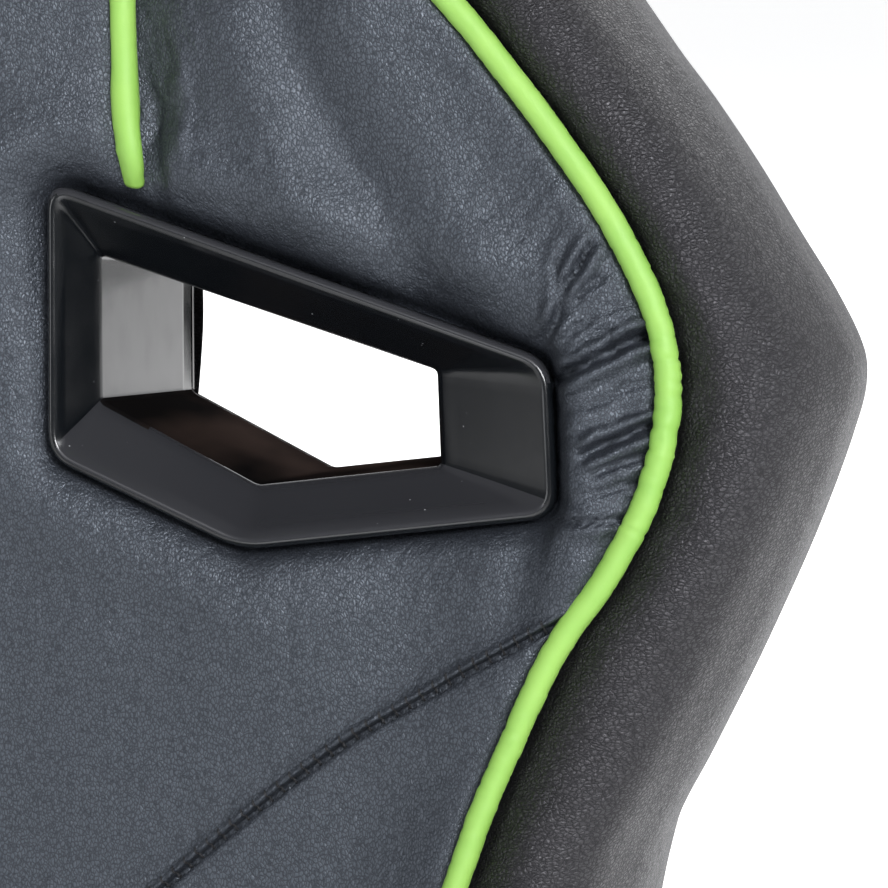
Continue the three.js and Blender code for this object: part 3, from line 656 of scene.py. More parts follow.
def coons(bottom, top, left, right):
    """A patch of points between four edges; each edge is an array of (x, z)."""
    # The share along each side follows the spacing of its points.
    run = run_along(left)
    v = (run / run[-1])[:, None, None]
    width = np.r_[0, np.cumsum(np.abs(np.diff(bottom[:, 0])))]
    u = (width / width[-1])[None, :, None]
    b, t, l, r = bottom[None], top[None], left[:, None], right[:, None]
    corners = (1 - u) * (1 - v) * bottom[0] + u * (1 - v) * bottom[-1]
    corners = corners + (1 - u) * v * top[0] + u * v * top[-1]
    return (1 - v) * b + v * t + (1 - u) * l + u * r - corners


def spaced(start, stop, first, most, growth=1.22):
    """Values from start to stop whose steps grow from first to most."""
    out, step = [start], first
    while out[-1] < stop:
        out.append(out[-1] + step)
        step = min(step * growth, most)
    out = np.array(out)
    return start + (out - start) * (stop - start) / (out[-1] - start)


def column_shares():
    """Shares of the half-width from -1 to 1, close together beside the slots."""
    half = np.r_[np.linspace(0, 0.24, 16, endpoint=False), np.linspace(0.24, 1, 150)]
    return np.r_[-half[:0:-1], half]


def crown(x):
    return Z_CROWN + CROWN_RISE * np.sqrt(np.clip(1 - (x / CROWN_HALF) ** 2, 0, 1))


def front_patch(z_rows, bottom_z, top_z):
    """The middle panel between two heights given as functions of x."""
    s = column_shares()
    edge = spline(PIPING, z_rows)
    left = np.stack([-edge, z_rows], axis=1)
    right = np.stack([edge, z_rows], axis=1)
    bx, tx = s * edge[0], s * edge[-1]
    bottom = np.stack([bx, bottom_z(bx)], axis=1)
    top = np.stack([tx, top_z(tx)], axis=1)
    return coons(bottom, top, left, right)


def cover(name, patch, surface, slots, under=()):
    """A cover from a patch of (x, z): rows are added behind its edge, and the belt slots are cut out."""
    x, z = patch[..., 0], patch[..., 1]
    y = -surface(x, z)
    p = np.stack([x, y, z], axis=-1)
    rows, cols = x.shape
    if len(under):
        extra = [np.stack([x[0], y[0] + dy * (REAR_Y - 2 - y[0]), z[0] - dz], axis=-1) for dy, dz in under]
        p = np.concatenate([np.array(extra[::-1]), p])
        rows = len(p)
    faces = grid_faces(rows, cols)
    flat = p.reshape(-1, 3)
    if slots:
        deep = outside(SLOT_RIM, np.abs(flat[:, 0]), flat[:, 2]) < -UNDER_RIM
        faces = faces[~deep[faces].all(axis=1)]
        flat, faces = drop_unused(flat, faces)
    ob = mesh_object(name, on_back(flat), faces, "back", PANEL)
    return ob


# Heights of the rows of points along the piping: close together at the seam and beside the slots.
upper_rows = np.r_[
    SEAM_END_Z + spaced(0, 60, 0.28, 1.25, 1.12),
    np.linspace(SEAM_END_Z + 60, 668, 76)[1:],
    np.linspace(668, Z_CROWN, 40)[1:],
]
lower_rows = np.r_[np.linspace(Z_FLOOR, 430, 120), SEAM_END_Z - spaced(0, 81, 0.3, 1.8, 1.15)[::-1][1:]]
upper = cover("back_upper_cover", front_patch(upper_rows, seam_height, crown), upper_surface, True)
# The lower edge turns under: share of the way to the rear, millimetres below the edge.
TUCK = [(0.05, 7.0), (0.2, 9.0), (0.5, 9.5), (0.8, 9.0), (0.97, 6.0), (1.0, 2.0)]
lower_patch = front_patch(lower_rows, lambda x: np.full_like(x, Z_FLOOR), lambda x: seam_height(x) + 2.4)
cover("back_lower_cover", lower_patch, lower_surface, False, under=TUCK)


def piping_line():
    """The piping from the bottom on the +x side up to the middle of the crown, as (x, z)."""
    z = np.linspace(Z_FLOOR, Z_CROWN, 1500)
    side = np.stack([spline(PIPING, z), z], axis=1)
    a = np.linspace(0, math.pi / 2, 240)[1:]
    top = np.stack([CROWN_HALF * np.cos(a), Z_CROWN + CROWN_RISE * np.sin(a)], axis=1)
    return side, top


PIPE_SIDE, PIPE_TOP = piping_line()


def outline_across(side, top):
    """The bolster's outermost line, point for point across from the piping."""
    o = spline(OUTLINE, side[:, 1])
    t = spline(CROWN_OUTLINE, np.linspace(0, 1, len(top) + 1)[1:])
    return np.concatenate([o, t])


def bolster_sections():
    """The bolster's inner and outer lines, cut to even steps, point for point."""
    inner = np.concatenate([PIPE_SIDE, PIPE_TOP])
    outer = outline_across(PIPE_SIDE, PIPE_TOP)
    both = even(np.concatenate([inner, outer], axis=1), 2.6)
    return both[:, :2], both[:, 2:]


def bolster_cover():
    """The padded rim round the back, from under the piping to the rear; returns its rear edge."""
    inner, outer = bolster_sections()
    h = front_at(inner[:, 0], inner[:, 1])
    rise = spline(RISE, inner[:, 1])
    # At the shoulder the crest lies close to the piping; further down it lies further out.
    near = bell(inner[:, 1] - 590, 75)
    level = np.ones_like(h)
    # Share of the way from the inner line to the outer one, with the depth there.
    keys = [
        (0.00, -(h - 4.2)), (0.04, -(h - 4.6)), (0.13, -(h - 1.4)), (0.28, -(h + 2.0 + 0.08 * rise)),
        (0.44, -(h + 2.9 + 0.12 * rise - 2.0 * near)), (0.60, -(h + 1.6 - 4.6 * near)),
        (0.75, -(h - 4.5 - 5.5 * near)), (0.87, -(0.72 * h - 2 - 2 * near)), (0.965, -0.43 * h),
        (1.00, -0.10 * h), (1.00, 14 * level), (0.972, 33 * level), (0.90, 47 * level),
        (0.80, 53.5 * level), (0.66, (REAR_Y - 1.0) * level), (0.62, (REAR_Y - 2.2) * level),
    ]
    count = 60
    t = np.linspace(0, len(keys) - 1, count)
    share = spline([(i, k[0]) for i, k in enumerate(keys)], t)
    depth = np.array([spline([(i, k[1][j]) for i, k in enumerate(keys)], t) for j in range(len(h))])
    p = inner[:, None] * (1 - share[None, :, None]) + outer[:, None] * share[None, :, None]
    run = run_along(inner)[:, None]
    s = share[None, :] * 50 + np.linspace(0, 1, count)[None, :] * 40
    front_only = smoothstep(60, 30, s)
    lumps = 0.7 * noise(run / 26.0, s / 22.0, 51) + 0.25 * noise(run / 7.0, s / 12.0, 52)
    curl = bell(run - np.interp(568, inner[:600, 1], run[:600, 0]), 45)
    dents = 1.5 * curl * noise(run / 9.0, s / 30.0, 53) * bell(s - 9, 12)
    depth = depth - lumps - dents * front_only
    side = np.concatenate([p, depth[..., None]], axis=-1)[..., [0, 2, 1]]
    whole = both_sides(side)
    n = len(whole)
    faces = [tuple(f) for f in grid_faces(n, count)]
    faces.append(tuple(range(count)))
    faces.append(tuple(range(n * count - 1, (n - 1) * count - 1, -1)))
    ob = mesh_object("back_bolster_cover", on_back(whole.reshape(-1, 3)), faces, "back", BOLSTER)
    return side[:, -1]


REAR_EDGE = bolster_cover()


def rear_cover():
    """The back's rear face, from one bolster's edge to the other's."""
    edge = REAR_EDGE[:, [0, 2]]
    turn = int(np.argmin(np.abs(np.arctan2(edge[:, 1] - 790, edge[:, 0] - 90) - 0.6)))
    side, top = even(edge[: turn + 1], 4.0), even(edge[turn:], 4.0)
    left = side * np.array([-1, 1])
    top_full = np.concatenate([top * np.array([-1, 1]), top[::-1][1:]])
    across = top_full[:, 0] / top_full[-1, 0] * side[0, 0]
    bottom = np.stack([across, np.full(len(top_full), side[0, 1])], axis=1)
    patch = coons(bottom, top_full, left, side)
    x, z = patch[..., 0], patch[..., 1]
    d = outside(SLOT_RIM, np.abs(x), z)
    y = np.full_like(x, REAR_Y - 1.2)
    y = y + 0.5 * noise(x / 30.0, z / 30.0, 61) + 0.15 * noise(x / 7.0, z / 9.0, 62)
    y -= 3.0 * bell(np.maximum(d, 0), 3.5) - 1.2 * bell(d - 12, 7)
    flat = np.stack([x, y, z], axis=-1).reshape(-1, 3)
    faces = grid_faces(*x.shape)[:, ::-1]
    deep = (d < -UNDER_RIM).reshape(-1)
    faces = faces[~deep[faces].all(axis=1)]
    flat, faces = drop_unused(flat, faces)
    ob = mesh_object("back_rear_cover", on_back(flat), faces, "back", BOLSTER)
    return ob


rear = rear_cover()
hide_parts("back_cushion")
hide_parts("back_rear_panel")


def cord_ripple(run, amount, seed):
    """Small rings where the piping's skin bunches up."""

    def ripple(i, a):
        s = run[i]
        rings = 0.15 * noise(s / 1.5, 0.9 * np.cos(a) + 3, seed)
        rings = rings + 0.13 * noise(s / 2.3, np.cos(a) + 9, seed + 1)
        rings = rings - 0.2 * bell((s / 5.1 + 0.6 * noise(s / 9.0, s * 0, seed + 2)) % 1 - 0.5, 0.06)
        return rings * amount[i]

    return ripple


def front_piping():
    side = even(np.concatenate([PIPE_SIDE, PIPE_TOP]), 0.8)
    x, z = side[:, 0], side[:, 1]
    y = -(front_at(x, z) + 0.4)
    path = both_sides(np.stack([x, y, z], axis=1))
    run = run_along(path)
    turn = bell(path[:, 2] - 566, 32) + 0.35 * bell(path[:, 2] - 470, 26) + 0.4
    r = 3.4 + 0.10 * noise(run / 21.0, run * 0, 71) + 0.12 * bell(path[:, 2] - 566, 30)
    pts, faces = tube_mesh(path, r, 18, cord_ripple(run, turn, 72))
    return mesh_object("back_piping", on_back(pts), faces, "back", GREEN)


def neck_piping(sign, name):
    """The neck panel's piping; it ends in a pinched, creased tip at the slot's rim."""
    z = np.arange(625.5, float(crown(NECK_X)) - 1, 0.7)
    x = NECK_X + 1.9 * bell(z - 631, 12)
    y = -(front_at(x, z) + folds(x, z) + 2.0)
    y += 2.5 * bell(z - 624, 5)
    path = np.stack([x * sign, y, z], axis=1)
    end = smoothstep(-6, 10, z - 625.5)
    r = 3.5 * (0.62 + 0.38 * end) + 0.5 * bell(z - 646, 9)
    run = z - z[0]
    fold = bell(z - 632, 12)

    def ripple(i, a):
        long = 0.55 * fold[i] * np.cos(a * 2 + 0.6 + run[i] / 16)
        rings = 0.16 * fold[i] * noise(run[i] / 2.2, np.cos(a) + 5, 81)
        rings = rings + 0.05 * noise(run[i] / 3.1, np.cos(a), 82)
        return long + rings

    pts, faces = tube_mesh(path, r, 18, ripple)
    return mesh_object(name, on_back(pts), faces, "back", GREEN)


front_piping()
neck_piping(1, "neck_piping_left")
neck_piping(-1, "neck_piping_right")


def seam_stitches():
    """Short threads that cross the seam, one each stitch length."""
    # Points of one stitch: distance above the seam, distance along it.
    course = ((2.5, 0.7), (2.0, 0.55), (1.2, 0.3), (0.4, 0.0), (-0.35, -0.2), (-0.9, -0.35))
    parts = []
    total = np.interp(203.5, SEAM_X, SEAM_LEN)
    for k in range(-int(total // STITCH), int(total // STITCH) + 1):
        s = abs(k) * STITCH
        x, z = np.interp(s, SEAM_LEN, SEAM_X), np.interp(s, SEAM_LEN, SEAM_Z)
        beyond = (np.interp(s + 1, SEAM_LEN, SEAM_X), np.interp(s + 1, SEAM_LEN, SEAM_Z))
        ahead = np.array([beyond[0] - x, beyond[1] - z])
        ahead /= np.linalg.norm(ahead)
        up = np.array([-ahead[1], ahead[0]])
        pts = []
        for e, lean_by in course:
            px, pz = np.array([x, z]) + up * e + ahead * lean_by
            one = np.array([px]), np.array([pz])
            if e > 0.3:
                top = upper_surface(*one)[0]
            else:
                top = lower_surface(*one)[0] + (0.9 if e > -0.5 else 0.1)
            sink = -0.55 if e > 2.2 or e < -0.8 else 0.3
            pts.append([px * (1 if k >= 0 else -1), -(top + sink), pz])
        parts.append(tube_mesh(even(pts, 0.5), 0.34, 6))
    points, faces = joined(parts)
    return mesh_object("back_seam_stitches", on_back(points), faces, "back", THREAD)


seam_stitches()

# ---------------------------------------------------------------- belt slot bezels


def rounded_loop(corners, radius, steps=8, edge=9):
    """A loop round the corners with each one rounded, with the same number of points whatever the radius."""
    c = np.asarray(corners, float)
    out = []
    n = len(c)
    for i in range(n):
        prev, here, nxt = c[i - 1], c[i], c[(i + 1) % n]
        a = here + (prev - here) / np.linalg.norm(prev - here) * radius
        b = here + (nxt - here) / np.linalg.norm(nxt - here) * radius
        t = np.linspace(0, 1, steps)[:, None]
        out.append((1 - t) ** 2 * a + 2 * t * (1 - t) * here + t**2 * b)
        nxt_a = nxt + (here - nxt) / np.linalg.norm(here - nxt) * radius
        u = np.linspace(0, 1, edge + 2)[1:-1, None]
        out.append(b * (1 - u) + nxt_a * u)
    return np.concatenate(out)


def bezel(name, sign, rim_y, lip_y, end_y, side, replaced):
    """A funnel from a rolled rim to a sharp lip, and the tunnel behind it; side is -1 at the front."""
    rings = []

    def ring(corners, radius, y):
        loop = rounded_loop(corners, radius)
        rings.append(np.stack([loop[:, 0] * sign, np.full(len(loop), y), loop[:, 1]], axis=1))

    back = -side
    ring(offset(SLOT_RIM, 0), 8.0, rim_y + back * 7.5)
    for angle in np.linspace(0, 90, 6):
        a = math.radians(angle)
        rolled = offset(SLOT_RIM, -1.7 * (1 - math.cos(a)))
        ring(rolled, 8.0 - 1.2 * angle / 90, rim_y + back * 2.6 * (1 - math.sin(a)))
    ring(offset(SLOT_RIM, -2.5), 5.8, rim_y + back * 0.25)
    near = offset(SLOT_RIM, -3.0)
    for t in (0.0, 0.2, 0.4, 0.6, 0.8, 0.94):
        sag = 0.7 * math.sin(math.pi * t)
        deep = 0.6 + (abs(lip_y - rim_y) - 1.0) * t + sag
        ring(near * (1 - t) + SLOT_LIP * t, 5.0 * (1 - t) + 1.6 * t, rim_y + back * deep)
    for angle in (0, 30, 60, 90):
        turned = 1 - math.cos(math.radians(angle))
        ring(offset(SLOT_LIP, 0.0), 1.5, lip_y + back * (0.2 + 0.9 * turned))
    tunnel = np.linspace(lip_y + back * 3, end_y, 9)
    for y in tunnel:
        ring(SLOT_LIP, 1.5, y)
    ring(offset(SLOT_LIP, 2.2), 3.0, end_y)
    ring(offset(SLOT_LIP, 2.2), 3.0, lip_y + back * 4)
    ring(offset(SLOT_RIM, -3.5), 5.0, rim_y + back * 7.5)
    rows = np.array(rings)
    faces = grid_faces(rows.shape[0], rows.shape[1], wrap_rows=True, wrap_cols=True)
    if sign * side < 0:
        faces = faces[:, ::-1]
    ob = mesh_object(name, on_back(rows.reshape(-1, 3)), faces, "back", GLOSS)
    ob.data.materials.append(DULL)
    ob.data.materials.append(PAINTED_REFLECTION_GLOSS)
    # The tunnel's floor is unpolished, and the funnel's faces that look up get a paler black as a painted
    # reflection.
    margin = 4 * MM
    ends = on_back([[0, tunnel.min(), SLOT_Z], [0, tunnel.max(), SLOT_Z]])[:, 1]
    for face in ob.data.polygons:
        if face.normal.z > 0.35 and ends[0] - margin < face.center.y < ends[1] + margin:
            face.material_index = 1
        elif side < 0 and face.normal.z > 0.3:
            face.material_index = 2
    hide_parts(replaced)
    return ob


for hand, sign in (("left", 1), ("right", -1)):
    bezel(f"slot_bezel_front_{hand}", sign, RIM_Y, LIP_Y, REAR_LIP_Y - 0.3, -1, f"bezel_front_{hand}")
    rear_name = f"slot_bezel_rear_{hand}"
    bezel(rear_name, sign, REAR_RIM_Y, REAR_LIP_Y + 2, REAR_LIP_Y + 0.3, 1, f"bezel_rear_{hand}")

# ---------------------------------------------------------------- hard parts, with their edges eased

NODE_MATERIALS = {
    "nylon": NYLON, "gloss": GLOSS, "soft_pad": PAD_SKIN, "steel": STEEL, "chrome": CHROME, "tyre": TREAD,
    "webbing": WEBBING, "leather": SEAT_LEATHER,
}


def world_copy(node):
    """A new mesh with the CAD node's shape in the row frame."""
    bm = bmesh.new()
    bm.from_mesh(frame["nodes"][node].data)
    bm.transform(frame["nodes"][node].matrix_world)
    bmesh.ops.remove_doubles(bm, verts=bm.verts, dist=1e-5)
    return bm


def applied(ob):
    """A new mesh of the object as its modifiers make it; the modifiers go."""
    bpy.context.view_layer.update()
    mesh = bpy.data.meshes.new_from_object(ob.evaluated_get(bpy.context.evaluated_depsgraph_get()))
    ob.modifiers.clear()
    return mesh


def object_from(bm, name):
    mesh = bpy.data.meshes.new(name)
    bm.to_mesh(mesh)
    bm.free()
    ob = bpy.data.objects.new(name, mesh)
    bpy.context.scene.collection.objects.link(ob)
    return ob


def eased(node, width):
    """The node's shape with rounded edges and smooth curved faces, in its place."""
    bm = world_copy(node)
    flat = math.radians(0.6)
    bmesh.ops.dissolve_limit(bm, angle_limit=flat, verts=bm.verts, edges=bm.edges)
    ob = object_from(bm, node + "_eased")
    bevel = ob.modifiers.new("ease", "BEVEL")
    bevel.limit_method = "ANGLE"
    bevel.angle_limit = math.radians(33)
    bevel.width = width * MM
    bevel.segments = 2
    bevel.use_clamp_overlap = True
    ob.data = done = applied(ob)
    done.polygons.foreach_set("use_smooth", [True] * len(done.polygons))
    done.set_sharp_from_angle(angle=math.radians(40))
    done.materials.clear()
    done.materials.append(NODE_MATERIALS[slot_of_node[node]])
    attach(ob, body_of_node[node])
    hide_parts(node)
    return ob


# Width of the rounding on each hard part's edges, in millimetres.
EASED = {
    "star_base": 1.6, "gas_cylinder": 0.8, "lift_cover_lower": 0.8, "lift_cover_middle": 0.8,
    "lift_cover_upper": 0.8, "gas_piston": 0.5, "mechanism_housing": 1.5, "tilt_pin": 0.5,
    "height_lever": 1.0, "tilt_lock_lever": 1.0,
    "seat_plate": 0.8, "seat_frame": 0.6, "tension_bolt": 0.4, "tension_knob": 1.0, "recline_lever": 1.2,
    "back_frame": 0.6,
}
for side in ("left", "right"):
    EASED.update({f"seat_hinge_bracket_{side}": 0.7, f"back_hinge_bracket_{side}": 0.7})
    EASED.update({f"hinge_cover_{side}": 1.8})
    EASED.update({f"arm_bracket_{side}": 0.8, f"arm_sleeve_{side}": 2.0, f"arm_post_{side}": 1.0})
    EASED.update({f"arm_pad_base_{side}": 0.8, f"arm_button_{side}": 0.8})
for n in range(1, 6):
    EASED[f"caster_{n}_fork"] = 1.0
for name, width in EASED.items():
    eased(name, width)

# ---------------------------------------------------------------- the tilt's spring

SPRING_TURNS = 5
SPRING_WIRE_R = 1.6


def spring():
    """A coil with closed ends, in the CAD spring's box."""
    lo, hi = (np.array(v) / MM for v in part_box("tension_spring"))
    middle = (lo + hi) / 2
    r = (hi[0] - lo[0]) / 2 - SPRING_WIRE_R
    t = np.linspace(0, 1, SPRING_TURNS * 40 + 1)
    a = 2 * np.pi * SPRING_TURNS * t
    climb = smoothstep(0.0, 1.0, t) * 0.35 + t * 0.65
    z = lo[2] + SPRING_WIRE_R + climb * (hi[2] - lo[2] - 2 * SPRING_WIRE_R)
    path = np.stack([middle[0] + r * np.cos(a), middle[1] + r * np.sin(a), z], axis=1)
    pts, faces = tube_mesh(path, SPRING_WIRE_R, 10)
    ob = mesh_object("tension_coil", pts * MM, faces, None, CHROME)
    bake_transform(ob)
    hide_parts("tension_spring")


spring()

# ---------------------------------------------------------------- caster wheels


def turned_about_x(profile, centre, sides=64):
    """A closed ring of (x, radius) turned about an axis along x through centre, all in millimetres."""
    a = np.linspace(0, 2 * np.pi, sides, endpoint=False)
    p = np.array(profile, float)
    pts = np.stack(
        [
            centre[0] + p[:, 0][:, None] + 0 * a,
            centre[1] + p[:, 1][:, None] * np.cos(a),
            centre[2] + p[:, 1][:, None] * np.sin(a),
        ],
        axis=-1,
    )
    return pts.reshape(-1, 3), [tuple(f) for f in grid_faces(len(p), sides, wrap_rows=True, wrap_cols=True)]


def wheel(node, number, side):
    """A twin wheel's half: a grooved tread on a dished disc with a stepped hub cap."""
    bm = world_copy(node)
    pts = np.array([v.co for v in bm.verts]) / MM
    bm.free()
    spin = joints[f"caster_{number}_roll_{side}"]
    axis, centre = np.array(spin["axis"], float), np.array(spin["pos_m"]) / MM
    run = (pts - centre) @ axis
    x0, x1 = run.min(), run.max()
    r = np.linalg.norm((pts - centre) - run[:, None] * axis, axis=1)
    outer, bore = r.max(), r.min()
    flip = abs(x0) > abs(x1)
    a, b = (-x1, -x0) if flip else (x0, x1)
    w = b - a
    # Place along the axle, radius: the inner face, the grooved tread, the dished outer face and its cap.
    profile = [
        (a, bore), (a, 21), (a, 26.5), (a + 1.0, 28.6), (a + 3.2, outer - 0.25), (a + w * 0.36, outer),
        (a + w * 0.40, outer - 0.9), (a + w * 0.45, outer - 0.9), (a + w * 0.49, outer),
        (b - 4.5, outer - 0.15), (b - 2.0, outer - 1.2), (b - 0.9, 27.4), (b - 0.7, 25.6),
        (b - 1.7, 25.2), (b - 2.9, 23.0), (b - 3.3, 14.0),
        (b - 2.7, 11.4), (b - 0.5, 11.0), (b - 0.1, 10.2), (b, 8.8), (b, bore),
    ]
    points, faces = turned_about_x(profile, (0, 0, 0))
    up = np.array([0, 0, 1.0])
    side_axis = np.cross(up, axis)
    world = points[:, :1] * (-1 if flip else 1) * axis + points[:, 1:2] * side_axis + points[:, 2:3] * up
    if not flip:
        faces = [f[::-1] for f in faces]
    name = f"caster_{number}_wheel_{side}_turned"
    ob = mesh_object(name, (world + centre) * MM, faces, body_of_node[node], TREAD)
    ob.data.set_sharp_from_angle(angle=math.radians(38))
    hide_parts(node)


for number in range(1, 6):
    for side in ("left", "right"):
        wheel(f"caster_{number}_wheel_{side}", number, side)

# ---------------------------------------------------------------- seat and armrest padding


COVER_CLOTH = {
    "quality": 6, "mass": 0.3, "tension_stiffness": 12, "compression_stiffness": 12, "shear_stiffness": 6,
    "bending_stiffness": 0.4, "use_pressure": True, "vertex_group_mass": "pin",
}
CLOTH_FRAMES = 20


def padded_from(node, name, voxel, pinned, most, pressure, material):
    """A cushion grown from the node: remeshed, then blown up by cloth pressure where it isn't pinned."""
    ob = object_from(world_copy(node), name)
    remesh = ob.modifiers.new("even", "REMESH")
    remesh.mode = "VOXEL"
    remesh.voxel_size = voxel * MM
    smooth = ob.modifiers.new("soften", "SMOOTH")
    smooth.factor = 0.5
    smooth.iterations = 4
    ob.data = applied(ob)
    count = len(ob.data.vertices)
    rest = np.empty(count * 3)
    ob.data.vertices.foreach_get("co", rest)
    rest = rest.reshape(-1, 3)
    hold = np.clip(pinned(rest / MM), 0, 1)
    group = ob.vertex_groups.new(name="pin")
    for i, weight in enumerate(hold):
        group.add([i], float(weight), "REPLACE")
    cloth = ob.modifiers.new("cloth", "CLOTH")
    for key, value in COVER_CLOTH.items():
        setattr(cloth.settings, key, value)
    cloth.settings.uniform_pressure_force = pressure
    cloth.settings.effector_weights.gravity = 0
    cloth.collision_settings.use_collision = False
    cloth.point_cache.frame_start = 1
    cloth.point_cache.frame_end = CLOTH_FRAMES
    for f in range(1, CLOTH_FRAMES + 1):
        bpy.context.scene.frame_set(f)
    blown = applied(ob)
    bpy.context.scene.frame_set(1)
    moved = np.empty(count * 3)
    blown.vertices.foreach_get("co", moved)
    shift = (moved.reshape(-1, 3) - rest) * (1 - hold[:, None])
    size = np.linalg.norm(shift, axis=1)
    shift *= np.minimum(1, most * MM / np.maximum(size, 1e-9))[:, None]
    ob.data.vertices.foreach_set("co", (rest + shift).reshape(-1))
    ob.vertex_groups.clear()
    finer = ob.modifiers.new("finer", "SUBSURF")
    finer.levels = finer.render_levels = 1
    ob.data.materials.clear()
    ob.data.materials.append(material)
    ob.data.polygons.foreach_set("use_smooth", [True] * len(ob.data.polygons))
    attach(ob, body_of_node[node])
    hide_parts(node)
    return ob


def seat_pad_hold(p):
    """1 where the seat pad is held: its foot, its sides and two sewn channels across its top."""
    x, y, z = np.abs(p[:, 0]), p[:, 1] - COLUMN_Y, p[:, 2]
    hold = np.maximum(smoothstep(432, 426, z), smoothstep(163, 168, x))
    seam = np.minimum(np.abs(y + 150), np.abs(y - 118))
    return np.maximum(hold, smoothstep(4.5, 1.5, seam) * (z > 450))


def seat_bolster_hold(p):
    """1 where a side pad is held: its foot and its inner side."""
    x, z = np.abs(p[:, 0]), p[:, 2]
    return np.maximum(smoothstep(432, 424, z), smoothstep(178, 172, x))


padded_from("seat_cushion", "seat_pad", 5.5, seat_pad_hold, 9.0, 4.0, SEAT_LEATHER)
for side in ("left", "right"):
    padded_from(f"seat_bolster_{side}", f"seat_bolster_pad_{side}", 5.5, seat_bolster_hold, 6.0, 4.0, BOLSTER)


def arm_pad_hold(p):
    """1 where an arm pad rests on its base."""
    return smoothstep(671, 666, p[:, 2])


for side in ("left", "right"):
    padded_from(f"arm_pad_{side}", f"arm_pad_soft_{side}", 4.0, arm_pad_hold, 2.0, 4.0, PAD_SKIN)

# The pad's edge piping follows the seat's outline from the front edge, over the top, to the back.
SEAT_EDGE = [
    (-262, 425), (-266, 440), (-264.5, 458), (-256, 473), (-243, 483), (-225, 489), (-200, 493),
    (-120, 494.5), (0, 490.5), (100, 488.5), (146, 485.5),
]
SEAT_PIPING_X = 170.2


def seat_piping(sign, name):
    edge = even(SEAT_EDGE, 1.5)
    x = np.full(len(edge), SEAT_PIPING_X * sign)
    path = np.stack([x, edge[:, 0] + COLUMN_Y, edge[:, 1] + 0.6], axis=1)
    run = run_along(path)
    pts, faces = tube_mesh(path, 3.6, 14, cord_ripple(run, np.full(len(run), 0.5), 91))
    return mesh_object(name, pts * MM, faces, "seat", GREEN)


seat_piping(1, "seat_piping_left")
seat_piping(-1, "seat_piping_right")

# ---------------------------------------------------------------- materials of the CAD nodes that stay

for name, node in frame["nodes"].items():
    material = NODE_MATERIALS[slot_of_node[name]]
    if not node.material_slots:
        node.data.materials.append(material)
    for s in node.material_slots:
        s.material = material

# ---------------------------------------------------------------- floor, light and camera


SHOULDER = (0.22, 0.2, 1.03)  # the sitter's left shoulder of the backrest
SKY_TURN = (0.35, 0.85)  # the sky goes from its front to its rear brightness between these
SKY_FRONT = 0.15
SKY_BACK = 1.08


def studio():
    """A wide pale floor under a sky that is brighter behind the chair than in front of it."""
    bpy.ops.mesh.primitive_plane_add(size=80, location=(0, 0, -0.0005))
    floor = bpy.context.object
    floor.name = "floor"
    n = Nodes("pale_floor")
    tone = n.noise(n.coords, 3.0, 2.0).outputs["Fac"]
    n.set(Base_Color=n.blend(tone, (0.86, 0.86, 0.87, 1), (0.9, 0.9, 0.9, 1)))
    n.set(Roughness=0.6)
    n.set(Emission_Color=(1, 1, 1, 1), Emission_Strength=0.64)
    floor.data.materials.append(n.material)

    world = bpy.data.worlds.new("studio")
    bpy.context.scene.world = world
    world.use_nodes = True
    tree = world.node_tree
    coords = tree.nodes.new("ShaderNodeTexCoord")
    parts = tree.nodes.new("ShaderNodeSeparateXYZ")
    tree.links.new(coords.outputs["Generated"], parts.inputs[0])
    ramp = tree.nodes.new("ShaderNodeMapRange")
    ramp.interpolation_type = "SMOOTHSTEP"
    tree.links.new(parts.outputs["Y"], ramp.inputs["Value"])
    limits = {"From Min": SKY_TURN[0], "From Max": SKY_TURN[1], "To Min": SKY_FRONT, "To Max": SKY_BACK}
    for key, value in limits.items():
        ramp.inputs[key].default_value = value
    background = tree.nodes["Background"]
    background.inputs["Color"].default_value = (0.97, 0.98, 1.0, 1)
    tree.links.new(ramp.outputs[0], background.inputs["Strength"])
    bpy.context.scene.view_settings.view_transform = "Standard"


def softbox(name, at, toward, size, power, color=(1, 1, 1)):
    """A soft rectangular light of size metres at one place, turned toward another."""
    light = bpy.data.lights.new(name, "AREA")
    light.shape = "RECTANGLE"
    light.size, light.size_y = size
    light.energy = power
    light.color = color
    ob = bpy.data.objects.new(name, light)
    ob.location = at
    ob.rotation_euler = (Vector(toward) - Vector(at)).to_track_quat("-Z", "Y").to_euler()
    bpy.context.scene.collection.objects.link(ob)


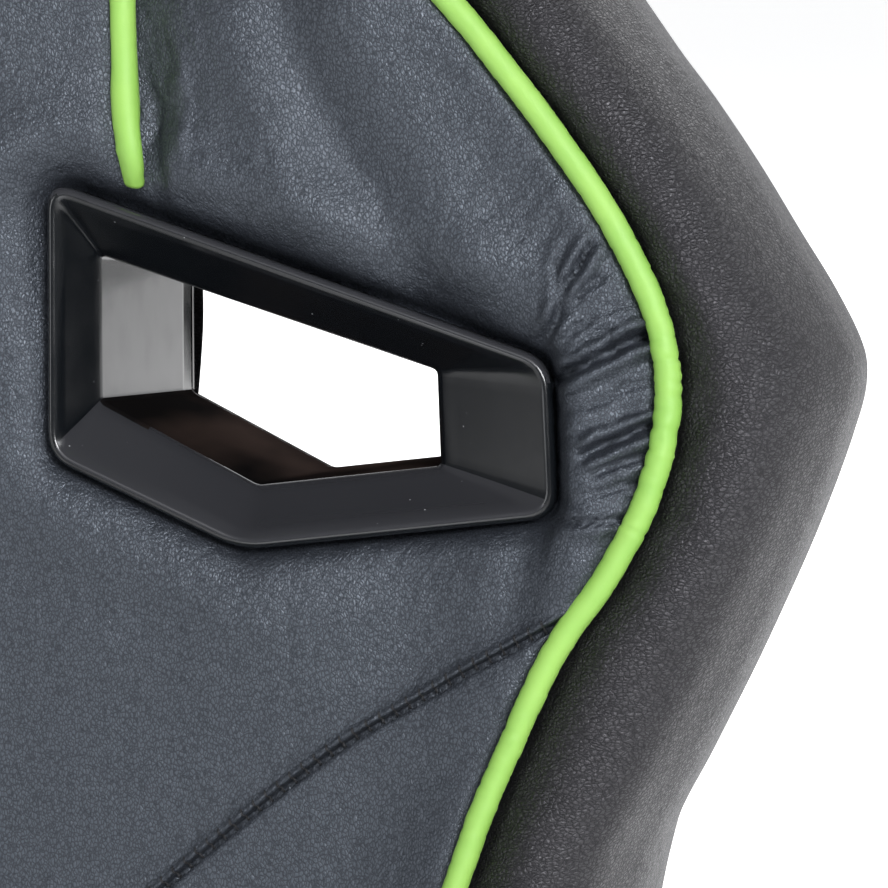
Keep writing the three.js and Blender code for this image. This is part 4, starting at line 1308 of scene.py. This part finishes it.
# The camera in the backrest's own frame: turned to the sitter's left of straight on, and raised.
CAMERA_TURN = 12.9
CAMERA_RAISE = 3.1
CAMERA_TARGET = [172.0, -50.0, 556.0]
CAMERA_DISTANCE = 650.0
CAMERA_LENS = 100.1


def camera():
    """Looks at the sitter's left shoulder of the backrest, close up."""
    turn, tilt = math.radians(CAMERA_TURN), math.radians(CAMERA_RAISE)
    target = np.array(CAMERA_TARGET)
    away = np.array([math.sin(turn) * math.cos(tilt), -math.cos(turn) * math.cos(tilt), math.sin(tilt)])
    eye = Vector(on_back(target + away * CAMERA_DISTANCE)[0])
    aim = Vector(on_back(target)[0])
    up = Vector(on_back([[0, 0, 1]])[0]) - Vector(on_back([[0, 0, 0]])[0])
    forward = (aim - eye).normalized()
    right = forward.cross(up).normalized()
    true_up = right.cross(forward)
    data = bpy.data.cameras.new("camera")
    data.lens = CAMERA_LENS
    data.sensor_width = 36
    data.clip_start = 0.05
    ob = bpy.data.objects.new("camera", data)
    ob.matrix_world = Matrix.Translation(eye) @ Matrix((right, true_up, -forward)).transposed().to_4x4()
    bpy.context.scene.collection.objects.link(ob)
    bpy.context.scene.camera = ob


def around(azimuth, elevation, distance=2.2):
    """A place round the backrest's shoulder; azimuth is 0 in front of it and 90 beside it."""
    turn, lift = math.radians(azimuth), math.radians(elevation)
    away = (math.sin(turn) * math.cos(lift), -math.cos(turn) * math.cos(lift), math.sin(lift))
    return tuple(c + distance * d for c, d in zip(SHOULDER, away))


studio()
softbox("key", around(32, 27), SHOULDER, (0.75, 0.6), 54, (0.97, 0.98, 1.0))
softbox("low", around(-15, -12), SHOULDER, (0.8, 0.8), 5, (0.95, 0.97, 1.0))
softbox("left", around(-45, 12), SHOULDER, (0.8, 0.8), 8, (0.95, 0.97, 1.0))
softbox("right", around(85, 30), SHOULDER, (0.6, 0.6), 11, (0.95, 0.97, 1.0))
softbox("rim", around(112, 0), SHOULDER, (0.8, 1.4), 9, (0.97, 0.98, 1.0))
softbox("seat", (0.5, -1.4, 2.3), (0.0, -0.2, 0.3), (1.4, 1.2), 9, (0.97, 0.98, 1.0))
softbox("back", (0.0, 4.2, 4.0), (0.0, 4.4, 0.0), (6.0, 3.0), 260)
camera()
